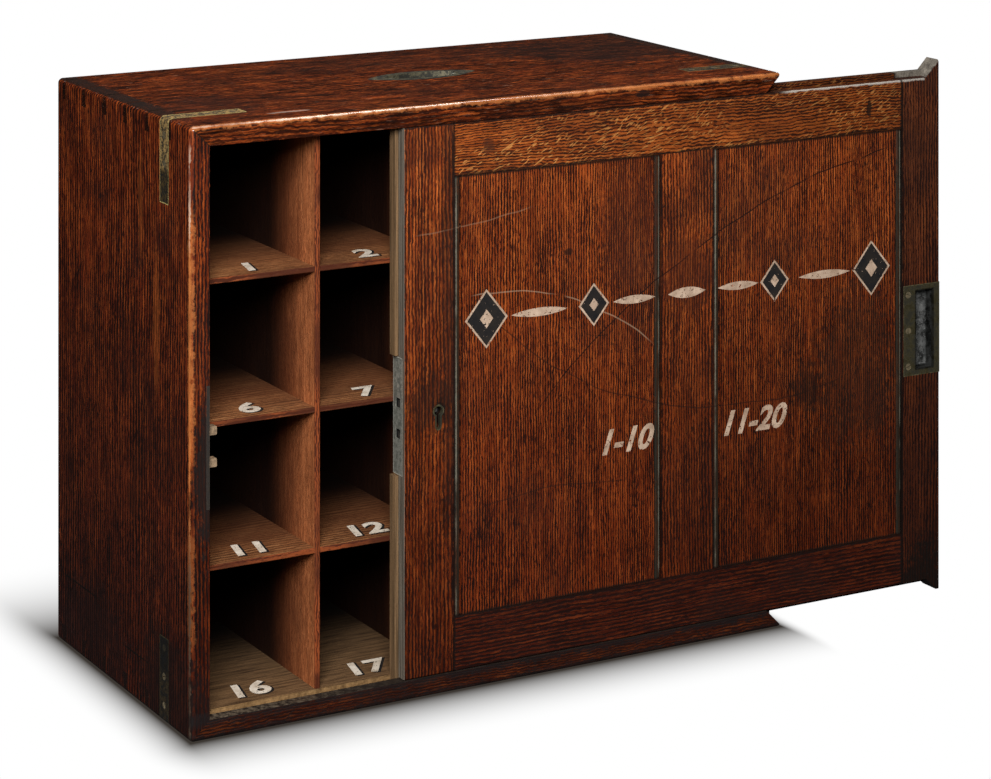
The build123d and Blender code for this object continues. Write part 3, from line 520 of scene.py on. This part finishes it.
panelOak = {"ring": 2.3, "wave": 7.0, "ripple": 1.8, "pores": 0.95, "soft": 0.1, "glow": 0.62,
            "mottle": 0.25}
doorBoards = {
    "door_lock_stile": ("z", {"ring": 3.0, "pores": 0.85, "glow": 0.75, "mottle": 0.4, "below": 0.37,
                              "wave": 9.0, "ripple": 2.2}),
    "door_pull_stile": ("z", {"light": (0.14, 0.034, 0.011), "dark": (0.045, 0.012, 0.005), "glow": 0.35,
                              "glowColour": (0.24, 0.075, 0.022), "ring": 2.6, "ripple": 2.2, "pores": 0.95,
                              "below": 0.5}),
    "door_top_rail": ("x", {"light": (0.36, 0.082, 0.014), "dark": (0.19, 0.036, 0.007), "fleck": 0.8,
                            "glowColour": (0.54, 0.16, 0.032), "ring": 2.3, "wave": 18.0, "pores": 0.9,
                            "glow": 0.45, "grime": 0.35, "rightShade": 0.62}),
    "door_bottom_rail": ("x", {"light": (0.076, 0.011, 0.0035), "dark": (0.020, 0.003, 0.0015), "glow": 0.45,
                               "ring": 2.8, "ripple": 2.4, "glowColour": (0.17, 0.036, 0.008),
                               "pores": 0.95}),
    "door_muntin": ("z", {"light": (0.36, 0.070, 0.013), "pores": 0.9, "ring": 2.7, "ripple": 2.4,
                          "glow": 0.62, "below": 0.38}),
    "door_panel_left": ("z", {**panelOak, "grime": 0.3, "below": 0.58}),
    "door_panel_right": ("z", {**panelOak, "grime": 0.4, "below": 0.38}),
}
panelSides = {
    "door_panel_left": (edges("door_lock_stile")[1][0], edges("door_muntin")[0][0]),
    "door_panel_right": (edges("door_muntin")[1][0], edges("door_pull_stile")[0][0]),
}
panelEnds = (edges("door_bottom_rail")[1][2], edges("door_top_rail")[0][2])
bead = {
    "width": 5.2,
    "line": 1.7,
    "lineWidth": 0.8,
    "colour": (0.016, 0.014, 0.009),
    "pale": (0.17, 0.16, 0.12),
    "endColour": (0.010, 0.006, 0.004),
}
doorSeams = {"between": 0.85, "colour": (0.008, 0.004, 0.003)}
doorTop = {  # the shoulder under the case's top, and the bare lip beyond it; the shoulder's arris takes painted shadow under the case and worn pale with a painted highlight beyond it
    "gap": 0.6,
    "tongueShade": 0.55,
    "clear": (right - 4.0, right + 10.0),
    # painted shadow on the arris under the case's top
    "dark": (0.010, 0.005, 0.004),
    # worn pale with a painted highlight on the arris beyond the case
    "bare": (0.42, 0.38, 0.33),
    "lipStart": 411.0,
    "lipSlope": 0.95,
    "lipDark": (0.06, 0.05, 0.04),
    "lipLight": (0.24, 0.21, 0.17),
}
doorScratches = [  # centre and radius of a long curved scratch, the stretch of it, colour, depth
    ((471.8, -226.3), 619.3, (30.0, 376.0), (0.010, 0.004, 0.003), 0.9),
    ((-12.3, 79.3), 226.7, (-30.0, 142.0), (0.50, 0.34, 0.22), 0.36),
    ((-169.7, 1459.8), 1107.8, (-80.0, 30.0), (0.42, 0.26, 0.16), 0.22),
    ((240.0, 560.0), 372.0, (-20.0, 330.0), (0.014, 0.006, 0.004), 0.6),
    ((60.0, -320.0), 466.0, (-40.0, 120.0), (0.014, 0.006, 0.004), 0.5),
]
doorMarks = [  # board, middle, radii, depth of colour, colour
    ("door_top_rail", {"x": 354.0, "z": 420.3}, (2.6, 7.0), 0.9, (0.012, 0.006, 0.004)),
    ("door_top_rail", {"x": -12.0, "z": 420.0}, (6.0, 7.0), 0.7, (0.05, 0.016, 0.008)),
    ("door_panel_left", {"x": 60.2, "z": 330.3}, (4.0, 3.0), 0.8, (0.016, 0.006, 0.004)),
    ("door_panel_left", {"x": 118.0, "z": 350.0}, (30.0, 60.0), 0.45, (0.05, 0.012, 0.006)),
    ("door_panel_right", {"x": 340.0, "z": 205.0}, (45.0, 70.0), 0.5, (0.022, 0.010, 0.006)),
    ("door_panel_right", {"x": 290.0, "z": 196.0}, (14.0, 22.0), 0.6, (0.012, 0.006, 0.004)),
    ("door_muntin", {"x": 172.0, "z": 300.0}, (30.0, 34.0), 0.5, (0.05, 0.012, 0.006)),
    ("door_lock_stile", {"x": -62.0, "z": 225.0}, (24.0, 26.0), 0.6, (0.014, 0.006, 0.004)),
    # painted shadow: a dark band along the lock stile's right edge
    ("door_lock_stile", {"x": -48.0, "z": 300.0}, (6.0, 200.0), 0.5, (0.020, 0.008, 0.005)),
    # painted shade: the dark inside of the keyhole
    ("door_lock_stile", {"x": -56.6, "z": 218.0}, (5.5, 11.0), 0.85, (0.006, 0.004, 0.003)),
    ("door_pull_stile", {"x": 412.0, "z": 4.0}, (34.0, 46.0), 0.85, (0.006, 0.004, 0.003)),
]
closingEdge = {"tan": (0.21, 0.125, 0.062), "grey": (0.17, 0.145, 0.115), "depth": 3.6}


def beadedPanel(graph, node, colour, ragged, seed):  # dark beads down both sides, each with a pale line
    start, end = panelSides[node]
    side = graph.least(graph.x - start, end - graph.x)
    fray = graph.spread(ragged, -0.25, 0.25)
    strip = graph.step(side, bead["width"] + 0.4, bead["width"] - 0.2) * 0.85
    colour = graph.mix(strip, colour, bead["colour"])
    pale = graph.step(abs(side - bead["line"]) + fray, bead["lineWidth"], 0.2)
    pale = pale * graph.step(graph.cloud(0.03, seed) + graph.z * 0.0006, 0.48, 0.68) * 0.8
    colour = graph.mix(pale, colour, bead["pale"])
    fromEnd = graph.least(graph.z - panelEnds[0], panelEnds[1] - graph.z)
    return graph.mix(graph.step(fromEnd + fray * 2.0, 2.2, 0.6) * 0.85, colour, bead["endColour"])


# painted shade on the tongue, painted shadow and highlight along the face's top arris, and wear on the pull
# stile's lip
def shoulderShadeHighlightAndWear(graph, node, colour, ragged):
    shoulder = ceiling - doorTop["gap"]
    crown = graph.step(graph.z, shoulder - 0.6, shoulder)
    crown = crown * graph.step(graph.y, doorFace + 0.3, doorFace + 0.9)
    colour = graph.mix(crown, colour, graph.tint(colour, doorTop["tongueShade"]))
    # the face's top arris: painted shadow under the case's top, wear with a painted highlight beyond it
    arris = nearLine(graph, {"y": doorFace, "z": shoulder})
    wearAndPaintedLight = graph.step(arris - graph.spread(ragged, -0.5, 0.9), 1.7, 0.6) * 0.9
    wearAndPaintedLight = wearAndPaintedLight * graph.step(graph.x, doorTop["lipStart"] + 1.5, doorTop["lipStart"])
    tone = graph.mix(graph.step(graph.x, *doorTop["clear"]), doorTop["dark"], doorTop["bare"])
    colour = graph.mix(wearAndPaintedLight, colour, tone)
    if node == "door_pull_stile":
        above = graph.step(graph.z, shoulder + 0.2, shoulder + 1.0)
        lip = above * graph.step(graph.y, doorFace + 0.4, doorFace + 1.2)
        slope = (graph.z - shoulder) - (graph.x - doorTop["lipStart"]) * doorTop["lipSlope"]
        rise = graph.step(abs(slope) - graph.spread(ragged, -0.6, 0.8), 2.2, 1.0)
        lip = graph.most(lip, rise * graph.step(graph.z, shoulder, shoulder + 1.0))
        tone = graph.mix(graph.spread(ragged, 0.0, 1.0), doorTop["lipDark"], doorTop["lipLight"])
        colour = graph.mix(lip, colour, tone)
    return colour


def longScratches(graph, colour):
    for centre, radius, (start, end), tone, strength in doorScratches:
        ring = graph.oval({"x": centre[0], "z": centre[1]}, (1.0, 1.0)) - radius
        ring = abs(ring + graph.spread(graph.cloud(0.02, radius), -1.5, 1.5))
        gate = graph.step(graph.cloud(0.03, radius * 3), 0.34, 0.46)
        gate = gate * graph.step(graph.x, start, start + 12.0) * graph.step(graph.x, end, end - 12.0)
        colour = graph.mix(graph.step(ring, 0.8, 0.25) * gate * strength, colour, tone)
    return colour


def doorOak(node, axis, changes, seed):
    graph = Graph("oak_" + node)
    values = {**oak, "seam": 0.0 if node in panelSides else doorSeams["between"], **changes}
    colour, rough, relief, ragged = polishedOak(graph, node, values, axis, seed)
    if node in panelSides:
        colour = beadedPanel(graph, node, colour, ragged, seed)
    colour = longScratches(graph, shoulderShadeHighlightAndWear(graph, node, colour, ragged))
    for joint in (edges("door_lock_stile")[1][0], edges("door_pull_stile")[0][0]):
        seam = graph.step(abs(graph.x - joint) - graph.spread(ragged, -0.3, 0.5), 1.5, 0.4)
        colour = graph.mix(seam * 0.8, colour, doorSeams["colour"])
    colour = marked(graph, node, colour, doorMarks, graph.spread(ragged, -0.4, 0.4), 1.2)
    if node == "door_lock_stile":
        inner = edges(node)[0][0] + closingEdge["depth"]
        streak = graph.noise(graph.point(graph.x, graph.y * 0.9, graph.z * 0.012 + seed), 2.0)
        bare = graph.mix(graph.step(graph.y, lipBack + 0.3, lipBack - 0.3), closingEdge["tan"],
                         closingEdge["grey"])
        bare = graph.tint(bare, graph.spread(streak, 0.35, 1.25))
        colour = graph.mix(graph.step(graph.x, inner, inner - 0.4), colour, bare)
    return graph.finish(colour, rough, relief, specular=values["specular"])


for seed, (node, (axis, changes)) in enumerate(doorBoards.items(), 1):
    dress(node, doorOak(node, axis, changes, seed * 2.11))
print("door", len(doorBoards), "boards")

plainOak = {
    **oak,
    "light": (0.46, 0.19, 0.070),
    "dark": (0.24, 0.086, 0.030),
    "pore": (0.06, 0.018, 0.008),
    "glowColour": (0.60, 0.29, 0.12),
    "mottle": 0.25,
    "ring": 2.3,
    "shelfRing": 4.6,
    "wave": 8.0,
    "pores": 0.7,
    "soft": 0.3,
    "stainColour": (0.07, 0.030, 0.016),
    "reddening": (10.0, 60.0),  # behind the front edge, in mm
    "redColour": (0.15, 0.045, 0.018),
    "golden": (1.30, 1.02, 0.95),
    # how far back the painted shade reaches its darkest in dividers and shelves, in mm
    "dividerDark": 85.0,
    "shelfDark": 150.0,
    "lowShelf": (150.0, 0.78),  # a shelf under this height, and its share of light
    "edgeLight": (0.24, 0.050, 0.013),
    "edgeDark": (0.060, 0.012, 0.005),
    "rough": 0.6,
}
thinBoards = [(f"divider_{number}", "z") for number in range(1, 5)]
thinBoards += [(f"shelf_{number}", "x") for number in range(1, 4)]
thinBoards += [(f"back_board_{number}", "x") for number in range(1, 4)]


def thinOak(node, axis, seed):  # unpolished inside, with a red stained front edge and painted shade towards the back
    graph = Graph("oak_" + node)
    low = edges(node)[0]
    divider, shelf, backBoard = [node.startswith(word) for word in ("divider", "shelf", "back")]
    values = {**plainOak, "ring": plainOak["shelfRing"]} if shelf else plainOak
    colour, pores, relief = oakFigure(graph, values, axis, seed)
    stain = graph.cloud(0.014, seed, 3.0, 0.6)
    colour = graph.mix(graph.step(stain, 0.45, 0.7) * 0.4, colour, values["stainColour"])
    start, end = values["reddening"]
    reddening = graph.step(graph.y, cellFront + start, cellFront + end)
    colour = graph.mix(reddening * 0.6, colour, values["redColour"])
    if divider:
        colour = graph.filter(colour, values["golden"])
    # painted shade: darker towards the back of the cells, darker again on the lower shelves; the back
    # boards' outer faces stay lighter
    dim = depthShade(graph, values["dividerDark" if divider else "shelfDark"])
    if shelf and low[2] < values["lowShelf"][0]:
        dim = dim * values["lowShelf"][1]
    if backBoard:
        dim = graph.most(dim, graph.step(graph.y, low[1] + 0.3, low[1] + 0.8) * 0.4)
    colour = graph.tint(colour, dim)
    if not backBoard:
        rim = graph.step(graph.y, low[1] + 1.3, low[1] + 0.5) * 0.9
        darkerTone = graph.most(pores, graph.step(stain, 0.4, 0.6))
        colour = graph.mix(rim, colour, graph.mix(darkerTone, values["edgeLight"], values["edgeDark"]))
    return graph.finish(colour, values["rough"], relief, specular=values["specular"])


for seed, (node, axis) in enumerate(thinBoards, 1):
    dress(node, thinOak(node, axis, seed * 1.73))
print("inside", len(thinBoards), "thin boards")

metals = {
    "brass": {"bright": (0.92, 0.59, 0.22), "dull": (0.070, 0.046, 0.019), "crust": (0.010, 0.010, 0.007),
              "crusted": 0.95, "rough": 0.36, "rim": 0.9, "grain": 0.26, "metal": 0.5},
    "plateBrass": {"bright": (0.20, 0.17, 0.085), "dull": (0.042, 0.036, 0.018),
                   "crust": (0.010, 0.010, 0.006), "crusted": 0.8, "rough": 0.42, "rim": 0.4,
                   "grain": 0.12, "metal": 0.9},
    "handleBrass": {"bright": (0.27, 0.24, 0.15), "dull": (0.036, 0.031, 0.020),
                    "crust": (0.008, 0.008, 0.006), "crusted": 0.9, "rough": 0.38, "rim": 0.3,
                    "grain": 0.16, "metal": 0.6},
    "bailBrass": {"bright": (0.56, 0.54, 0.40), "dull": (0.17, 0.17, 0.12), "crust": (0.02, 0.022, 0.018),
                  "crusted": 0.8, "rough": 0.32, "rim": 0.2, "grain": 0.2, "metal": 0.7},
    "greyBrass": {"bright": (0.50, 0.49, 0.42), "dull": (0.15, 0.15, 0.125), "crust": (0.03, 0.034, 0.028),
                  "crusted": 0.5, "rough": 0.4, "rim": 0.9, "grain": 0.25, "metal": 0.5},
    "darkPlate": {"bright": (0.060, 0.048, 0.038), "dull": (0.016, 0.012, 0.010),
                  "crust": (0.008, 0.006, 0.005), "crusted": 0.6, "rough": 0.5, "rim": 0.35,
                  "grain": 0.3, "metal": 0.5},
    "screwBrass": {"bright": (0.42, 0.33, 0.19), "dull": (0.14, 0.115, 0.07), "crust": (0.02, 0.02, 0.015),
                   "crusted": 0.4, "rough": 0.36, "rim": 0.0, "grain": 0.3, "metal": 0.6},
    "stapleBrass": {"bright": (0.62, 0.43, 0.26), "dull": (0.24, 0.16, 0.10), "crust": (0.03, 0.02, 0.015),
                    "crusted": 0.3, "rough": 0.36, "rim": 0.0, "grain": 0.3, "metal": 0.4},
    "steel": {"bright": (0.36, 0.35, 0.34), "dull": (0.14, 0.13, 0.12), "crust": (0.07, 0.035, 0.02),
              "crusted": 0.35, "rough": 0.4, "rim": 0.3, "grain": 0.2, "metal": 0.9},
}
metalOf = {
    "brass": ["strap_top_left", "strap_bottom_left", "strap_top_right", "strap_bottom_right"],
    "handleBrass": ["handle_plate"],
    "plateBrass": ["pull_plate", "keyhole_escutcheon"],
    "bailBrass": ["handle_bail", "handle_pins"],
    "greyBrass": ["lock_plate"],
    "darkPlate": ["link_plate", "lock_case", "lock_bolt"],
    "screwBrass": ["strap_screws", "pull_screws", "handle_screws"],
    "stapleBrass": ["link_staples"],
    "steel": ["back_screws", "lock_screws", "lock_spring", "lock_pins", "link_screws"],
}
tarnish = {
    "crust": (0.84, 0.68),  # where a crust forms, and where specks lie
    "specks": (0.64, 0.68),
    "speckDepth": 0.8,
    "rim": (0.9, 0.2),  # how far from an edge it is rubbed bright, in mm
    "brighter": 1.4,
    "crustRough": 0.35,
    "rimSmooth": 0.1,
}
darkened = {"strap_bottom_left": 0.1, "strap_bottom_right": 0.1, "strap_top_right": 0.3}
strapFoot = {"reach": (36.0, 42.0), "dark": 0.8}  # where an arm darkens, in mm from the case's top or foot
pullCup = {
    "x": 411.7,
    "z": 228.5,
    "halfWidth": 9.0,
    "halfHeight": 33.0,
    "dark": (0.070, 0.072, 0.070),
    "light": (0.17, 0.17, 0.165),
    "speck": (0.45, 0.44, 0.42),
}
gapShade = (0.006, 0.006, 0.005)  # painted shade in the lock plate's hole and round the pull's cup
handleRim = (0.008, 0.008, 0.007)


def cupGrey(graph, colour, specks):  # the pull's sunk cup, in bare grey metal, with painted shade round its rim
    away = graph.most(abs(graph.x - pullCup["x"]) - pullCup["halfWidth"],
                      abs(graph.z - pullCup["z"]) - pullCup["halfHeight"])
    inside = graph.step(graph.y, doorFace + 1.8, doorFace + 3.0)
    grain = graph.noise(graph.point(graph.x * 0.12, graph.y * 0.12, graph.z * 0.10), 4.0, 0.6)
    grey = graph.mix(graph.step(grain, 0.36, 0.66), pullCup["dark"], pullCup["light"])
    grey = graph.mix(specks * 0.5, grey, pullCup["speck"])
    colour = graph.mix(inside, colour, grey)
    # painted shade round the cup's rim
    return graph.mix(graph.step(abs(away), 1.5, 0.5) * 0.85, colour, gapShade)


def metal(kind, node, seed):
    values = metals[kind]
    graph = Graph(kind + "_" + node)
    low, high = edges(node)
    cloud = graph.cloud(values["grain"], seed, 4.0, 0.65)
    speck = graph.cloud(0.9, seed, 2.0, 0.6)
    colour = graph.mix(graph.spread(cloud, 0.1, 0.9), values["dull"], values["bright"])
    specks = graph.step(speck, *tarnish["specks"])
    crust = graph.step(cloud + speck * 0.5, *tarnish["crust"]) * values["crusted"]
    crust = graph.most(crust, specks * tarnish["speckDepth"])
    colour = graph.mix(crust, colour, values["crust"])
    edge = edgeDistance(graph, low, high)
    shine = graph.step(edge - graph.spread(speck, -0.4, 0.4), *tarnish["rim"]) * values["rim"]
    rim = tuple(min(1.0, part * tarnish["brighter"]) for part in values["bright"])
    colour = graph.mix(shine, colour, rim)
    if node in darkened:
        colour = graph.tint(colour, darkened[node])
    if node.startswith("strap_"):
        middle = (top + bottom) / 2
        start, end = strapFoot["reach"]
        foot = graph.step(abs(graph.z - middle), middle - start, middle - end)
        colour = graph.tint(colour, 1.0 - foot * strapFoot["dark"] * (1.0 - shine))
    if node == "pull_plate":
        colour = cupGrey(graph, colour, specks)
    if node == "lock_plate":
        # painted shade inside the lock plate's hole
        hole = graph.step(graph.x, low[0] + 0.5, low[0] + 1.0) * graph.step(edge, 1.5, 3.0)
        colour = graph.mix(hole, colour, gapShade)
    if node == "handle_plate":
        colour = graph.mix(graph.step(edge, 2.2, 0.6) * 0.8, colour, handleRim)
    rough = values["rough"] + crust * tarnish["crustRough"] - shine * tarnish["rimSmooth"]
    height = cloud * 0.12 + speck * 0.03 - crust * 0.03
    return graph.finish(colour, rough, height, metal=values["metal"] * (1.0 - crust * 0.9))


for kind, members in metalOf.items():
    for number, node in enumerate(members):
        dress(node, metal(kind, node, number * 1.9))
print("metal", sum(len(members) for members in metalOf.values()), "fittings")

paints = {
    "creamPaint": {"colour": (0.64, 0.47, 0.345), "shade": (0.33, 0.22, 0.15), "chips": 0.415},
    "whitePaint": {"colour": (0.95, 0.85, 0.72), "shade": (0.60, 0.49, 0.37), "chips": 0.39},
    "blackPaint": {"colour": (0.010, 0.010, 0.012), "shade": (0.025, 0.02, 0.016), "chips": 0.36},
}
paintThickness = 0.06


def paint(name, values, seed):  # worn sign-writer's paint with the wood showing through its chips
    graph = Graph(name)
    cloud = graph.cloud(0.09, seed, 3.0, 0.6)
    chips = graph.cloud(0.35, seed, 3.0, 0.75)
    colour = graph.mix(graph.spread(cloud, 0.0, 1.0), values["shade"], values["colour"])
    alpha = graph.step(chips, values["chips"] - 0.05, values["chips"] + 0.02)
    return graph.finish(colour, 0.6, alpha=alpha, specular=0.2)


def lettering(words, size, shear=0.0, weight=0.0):  # a thin solid, centred, lying on the XY plane
    curve = bpy.data.curves.new("words", "FONT")
    curve.body = words
    curve.size = size / 1000
    curve.shear = shear
    curve.offset = weight / 1000
    curve.align_x = "CENTER"
    curve.align_y = "CENTER"
    curve.resolution_u = 4
    curve.extrude = paintThickness / 2000
    writer = bpy.data.objects.new("words", curve)
    bpy.context.scene.collection.objects.link(writer)
    bpy.context.view_layer.update()
    mesh = bpy.data.meshes.new_from_object(writer)
    bpy.data.objects.remove(writer)
    return mesh


def lay(form, mesh, place):  # add a mesh to a bmesh at its place
    shape = bmesh.new()
    shape.from_mesh(mesh)
    shape.transform(place)
    copy = bpy.data.meshes.new("copy")
    shape.to_mesh(copy)
    shape.free()
    form.from_mesh(copy)
    bpy.data.meshes.remove(copy)


def addPiece(name, form, material, body):
    bmesh.ops.remove_doubles(form, verts=form.verts, dist=0.000005)
    bmesh.ops.recalc_face_normals(form, faces=form.faces)
    mesh = bpy.data.meshes.new(name)
    form.to_mesh(mesh)
    form.free()
    mesh.materials.append(material)
    piece = bpy.data.objects.new(name, mesh)
    bpy.context.scene.collection.objects.link(piece)
    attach(piece, body)


creamPaint = paint("creamPaint", paints["creamPaint"], 3.0)
whitePaint = paint("whitePaint", paints["whitePaint"], 6.0)
blackPaint = paint("blackPaint", paints["blackPaint"], 9.0)

cellNumbers = {"size": 36.0, "shear": 0.2, "weight": 1.1, "shade": 0.5, "setBack": 23.0, "drop": 1.6}


def addCellNumbers(values):
    white = bmesh.new()
    black = bmesh.new()
    middles = [sum(corner[0] for corner in edges(f"divider_{number}")) / 2 for number in range(1, 5)]
    walls = [innerLeft, *middles, innerRight]
    floors = [edges(f"shelf_{number}")[1][2] for number in (3, 2, 1)] + [floorTop]
    shadow = Vector((values["drop"] * 0.6, -values["drop"], -paintThickness * 0.8)) / 1000
    for row, height in enumerate(floors):
        for column in range(5):
            number = str(row * 5 + column + 1)
            across = (walls[column] + walls[column + 1]) / 2
            spot = Vector((across, cellFront + values["setBack"], height + paintThickness * 1.5)) / 1000
            face = lettering(number, values["size"], values["shear"], values["weight"])
            edge = lettering(number, values["size"], values["shear"], values["weight"] + values["shade"])
            lay(white, face, Matrix.Translation(spot))
            lay(black, edge, Matrix.Translation(spot + shadow))
    addPiece("cell_numbers", white, whitePaint, "case")
    addPiece("cell_number_shades", black, blackPaint, "case")


addCellNumbers(cellNumbers)
print("cell numbers")

doorNumbers = {  # words, middle and height on the door, letter size
    "faces": [("1-10", 112.0, 173.5, 27.0), ("11-20", 235.0, 173.5, 27.0)],
    "shear": 0.35,
    "weight": 0.8,
}


def addDoorNumbers(values):
    cream = bmesh.new()
    upright = Matrix.Rotation(math.radians(90), 4, "X")
    for words, across, height, size in values["faces"]:
        spot = Vector((across, doorFace - paintThickness, height)) / 1000
        face = lettering(words, size, values["shear"], values["weight"])
        lay(cream, face, Matrix.Translation(spot) @ upright)
    addPiece("door_numbers", cream, creamPaint, "door")


addDoorNumbers(doorNumbers)
print("door numbers")

doorRule = {  # a signwriter's swelled rule: dark lozenges edged in cream, with tapering strokes between
    "height": 286.0,
    "lozenges": [(-14.0, 17.0, 21.0), (84.0, 12.0, 15.0), (258.0, 12.0, 15.0), (356.0, 17.0, 21.0)],
    "rim": 2.2,
    "eye": 0.35,
    "strokes": [(34.0, 26.0, 3.4), (122.0, 20.0, 3.4), (172.0, 18.0, 4.4), (222.0, 20.0, 3.4),
                (308.0, 26.0, 3.4)],
    "steps": 14,
    "layers": (0.2, 1.4, 2.0),  # how proud cream, black and the cream eye lie, in coats of paint
}


def diamond(reach, swell):  # the upper outline of a shape that is the same below
    return [(-reach, 0.0), (0.0, swell), (reach, 0.0)]


def stroke(reach, swell):
    turns = [math.pi * step / doorRule["steps"] for step in range(doorRule["steps"] + 1)]
    return [(-math.cos(turn) * reach, math.sin(turn) ** 2 * swell) for turn in turns]


def leaf(form, height, across, upper, proud):  # a flat pointed shape, one coat thick, upright on the door
    outline = upper + [(x, -z) for x, z in reversed(upper[1:-1])]
    rims = []
    for coats in (proud, proud + 1.0):
        deep = doorFace - paintThickness * coats
        corners = [form.verts.new(Vector((across + x, deep, height + z)) / 1000) for x, z in outline]
        rims += form.faces.new(corners).edges
    bmesh.ops.bridge_loops(form, edges=rims)


def addDoorRule(values):
    cream = bmesh.new()
    black = bmesh.new()
    height, rim, eye = values["height"], values["rim"], values["eye"]
    under, over, uppermost = values["layers"]
    for across, reach, swell in values["lozenges"]:
        leaf(cream, height, across, diamond(reach + rim, swell + rim), under)
        leaf(black, height, across, diamond(reach, swell), over)
        leaf(cream, height, across, diamond(reach * eye, swell * eye), uppermost)
    for across, reach, swell in values["strokes"]:
        leaf(cream, height, across, stroke(reach, swell), under)
    addPiece("door_rule", cream, creamPaint, "door")
    addPiece("door_rule_faces", black, blackPaint, "door")


addDoorRule(doorRule)
print("door rule")

# a view camera with its front lowered, so that upright edges stay parallel in the picture
camera = {
    "place": (-1.2036, -2.2552, 0.8568),
    "yaw": 29.45,
    "drop": 14.435,
    "lens": 116.88,
    "sensor": 36.0,
    "clip": (0.1, 50.0),
}


def addCamera(values):
    yaw = math.radians(values["yaw"])
    drop = math.radians(values["drop"])
    ahead = Vector((math.sin(yaw), math.cos(yaw), 0))
    across = Vector((math.cos(yaw), -math.sin(yaw), 0))
    upright = Vector((0, 0, 1))
    backward = upright * math.sin(drop) - ahead * math.cos(drop)
    skew = np.array([across, upright, backward]).T
    turn, stretch, inner = np.linalg.svd(skew)
    if np.linalg.det(turn) < 0:
        turn = -turn
        inner = -inner
    mount = bpy.data.objects.new("cameraMount", None)
    mount.rotation_mode = "QUATERNION"
    mount.location = values["place"]
    mount.rotation_quaternion = Matrix(turn.tolist()).to_quaternion()
    mount.scale = stretch.tolist()
    lens = bpy.data.cameras.new("camera")
    lens.lens = values["lens"]
    lens.sensor_width = values["sensor"]
    lens.clip_start, lens.clip_end = values["clip"]
    eye = bpy.data.objects.new("camera", lens)
    eye.rotation_mode = "QUATERNION"
    eye.rotation_quaternion = Matrix(inner.tolist()).to_quaternion()
    eye.parent = mount
    for thing in (mount, eye):
        bpy.context.scene.collection.objects.link(thing)
    bpy.context.scene.camera = eye


addCamera(camera)
print("camera")

lamps = {
    "key": {"place": (-1.05, -1.75, 1.35), "aim": (-0.1, -0.1, 0.28), "size": 0.8, "power": 70.0},
    "overhead": {"place": (0.1, 0.1, 2.1), "aim": (0.05, 0.0, 0.2), "size": 1.6, "power": 12.0},
    "behind": {"place": (1.9, 1.7, 0.05), "aim": (0.1, 0.1, 0.23), "size": 0.7, "power": 45.0},
    "glint": {"place": (0.78, 0.0, 2.1), "aim": (0.0, -0.1, 0.4), "size": 0.3, "power": 6.0},
}


def addLamp(name, values):
    light = bpy.data.lights.new(name, "AREA")
    light.size = values["size"]
    light.energy = values["power"]
    lamp = bpy.data.objects.new(name, light)
    lamp.location = values["place"]
    toward = Vector(values["aim"]) - Vector(values["place"])
    lamp.rotation_mode = "QUATERNION"
    lamp.rotation_quaternion = toward.to_track_quat("-Z", "Y")
    bpy.context.scene.collection.objects.link(lamp)


for name, values in lamps.items():
    addLamp(name, values)

floorStage = {  # how far the soft shadow reaches from each side of the box, in mm
    "size": 40.0,
    "left": 46.0,
    "right": 16.0,
    "front": 84.0,
    "back": 190.0,
    "shadow": (0.045, 0.038, 0.032),
    "bounce": 0.08,
}


def addFloor(values):  # white to the camera, with a soft shadow where the box stands
    form = bmesh.new()
    bmesh.ops.create_grid(form, x_segments=1, y_segments=1, size=values["size"] / 2)
    mesh = bpy.data.meshes.new("floor")
    form.to_mesh(mesh)
    form.free()
    floor = bpy.data.objects.new("floor", mesh)
    bpy.context.scene.collection.objects.link(floor)
    graph = Graph("floor")
    graph.tree.nodes.remove(graph.shader)
    across = graph.most((left - graph.x) / values["left"], (graph.x - right) / values["right"], 0.0)
    deep = graph.most((front - graph.y) / values["front"], (graph.y - back) / values["back"], 0.0)
    away = graph.least(graph.maths("SQRT", across * across + deep * deep), 1.0)
    share = 1.0 - (1.0 - away) * (1.0 - away)
    shade = graph.mix(share, values["shadow"], (1.0, 1.0, 1.0))
    seen = graph.node("ShaderNodeEmission", inputs={"Color": shade, "Strength": 1.0})
    felt = graph.node("ShaderNodeBsdfDiffuse", inputs={"Color": (values["bounce"],) * 3})
    inView = graph.node("ShaderNodeLightPath", out="Is Camera Ray")
    choice = graph.node("ShaderNodeMixShader", inputs={0: inView, 1: felt, 2: seen})
    graph.feed(graph.tree.nodes["Material Output"].inputs["Surface"], choice)
    mesh.materials.append(graph.material)


addFloor(floorStage)

room = {"ambient": 0.05, "mirrored": 0.03}


def addWorld(values):
    world = bpy.data.worlds.new("room")
    world.use_nodes = True
    tree = world.node_tree
    path = tree.nodes.new("ShaderNodeLightPath")
    background = tree.nodes["Background"]
    background.inputs["Color"].default_value = (1, 1, 1, 1)
    glossy = tree.nodes.new("ShaderNodeMix")
    glossy.inputs[2].default_value = values["ambient"]
    glossy.inputs[3].default_value = values["mirrored"]
    seen = tree.nodes.new("ShaderNodeMix")
    seen.inputs[3].default_value = 1.0
    tree.links.new(path.outputs["Is Glossy Ray"], glossy.inputs[0])
    tree.links.new(path.outputs["Is Camera Ray"], seen.inputs[0])
    tree.links.new(glossy.outputs[0], seen.inputs[2])
    tree.links.new(seen.outputs[0], background.inputs["Strength"])
    bpy.context.scene.world = world


addWorld(room)
bpy.context.scene.view_settings.view_transform = "Standard"
print("studio")
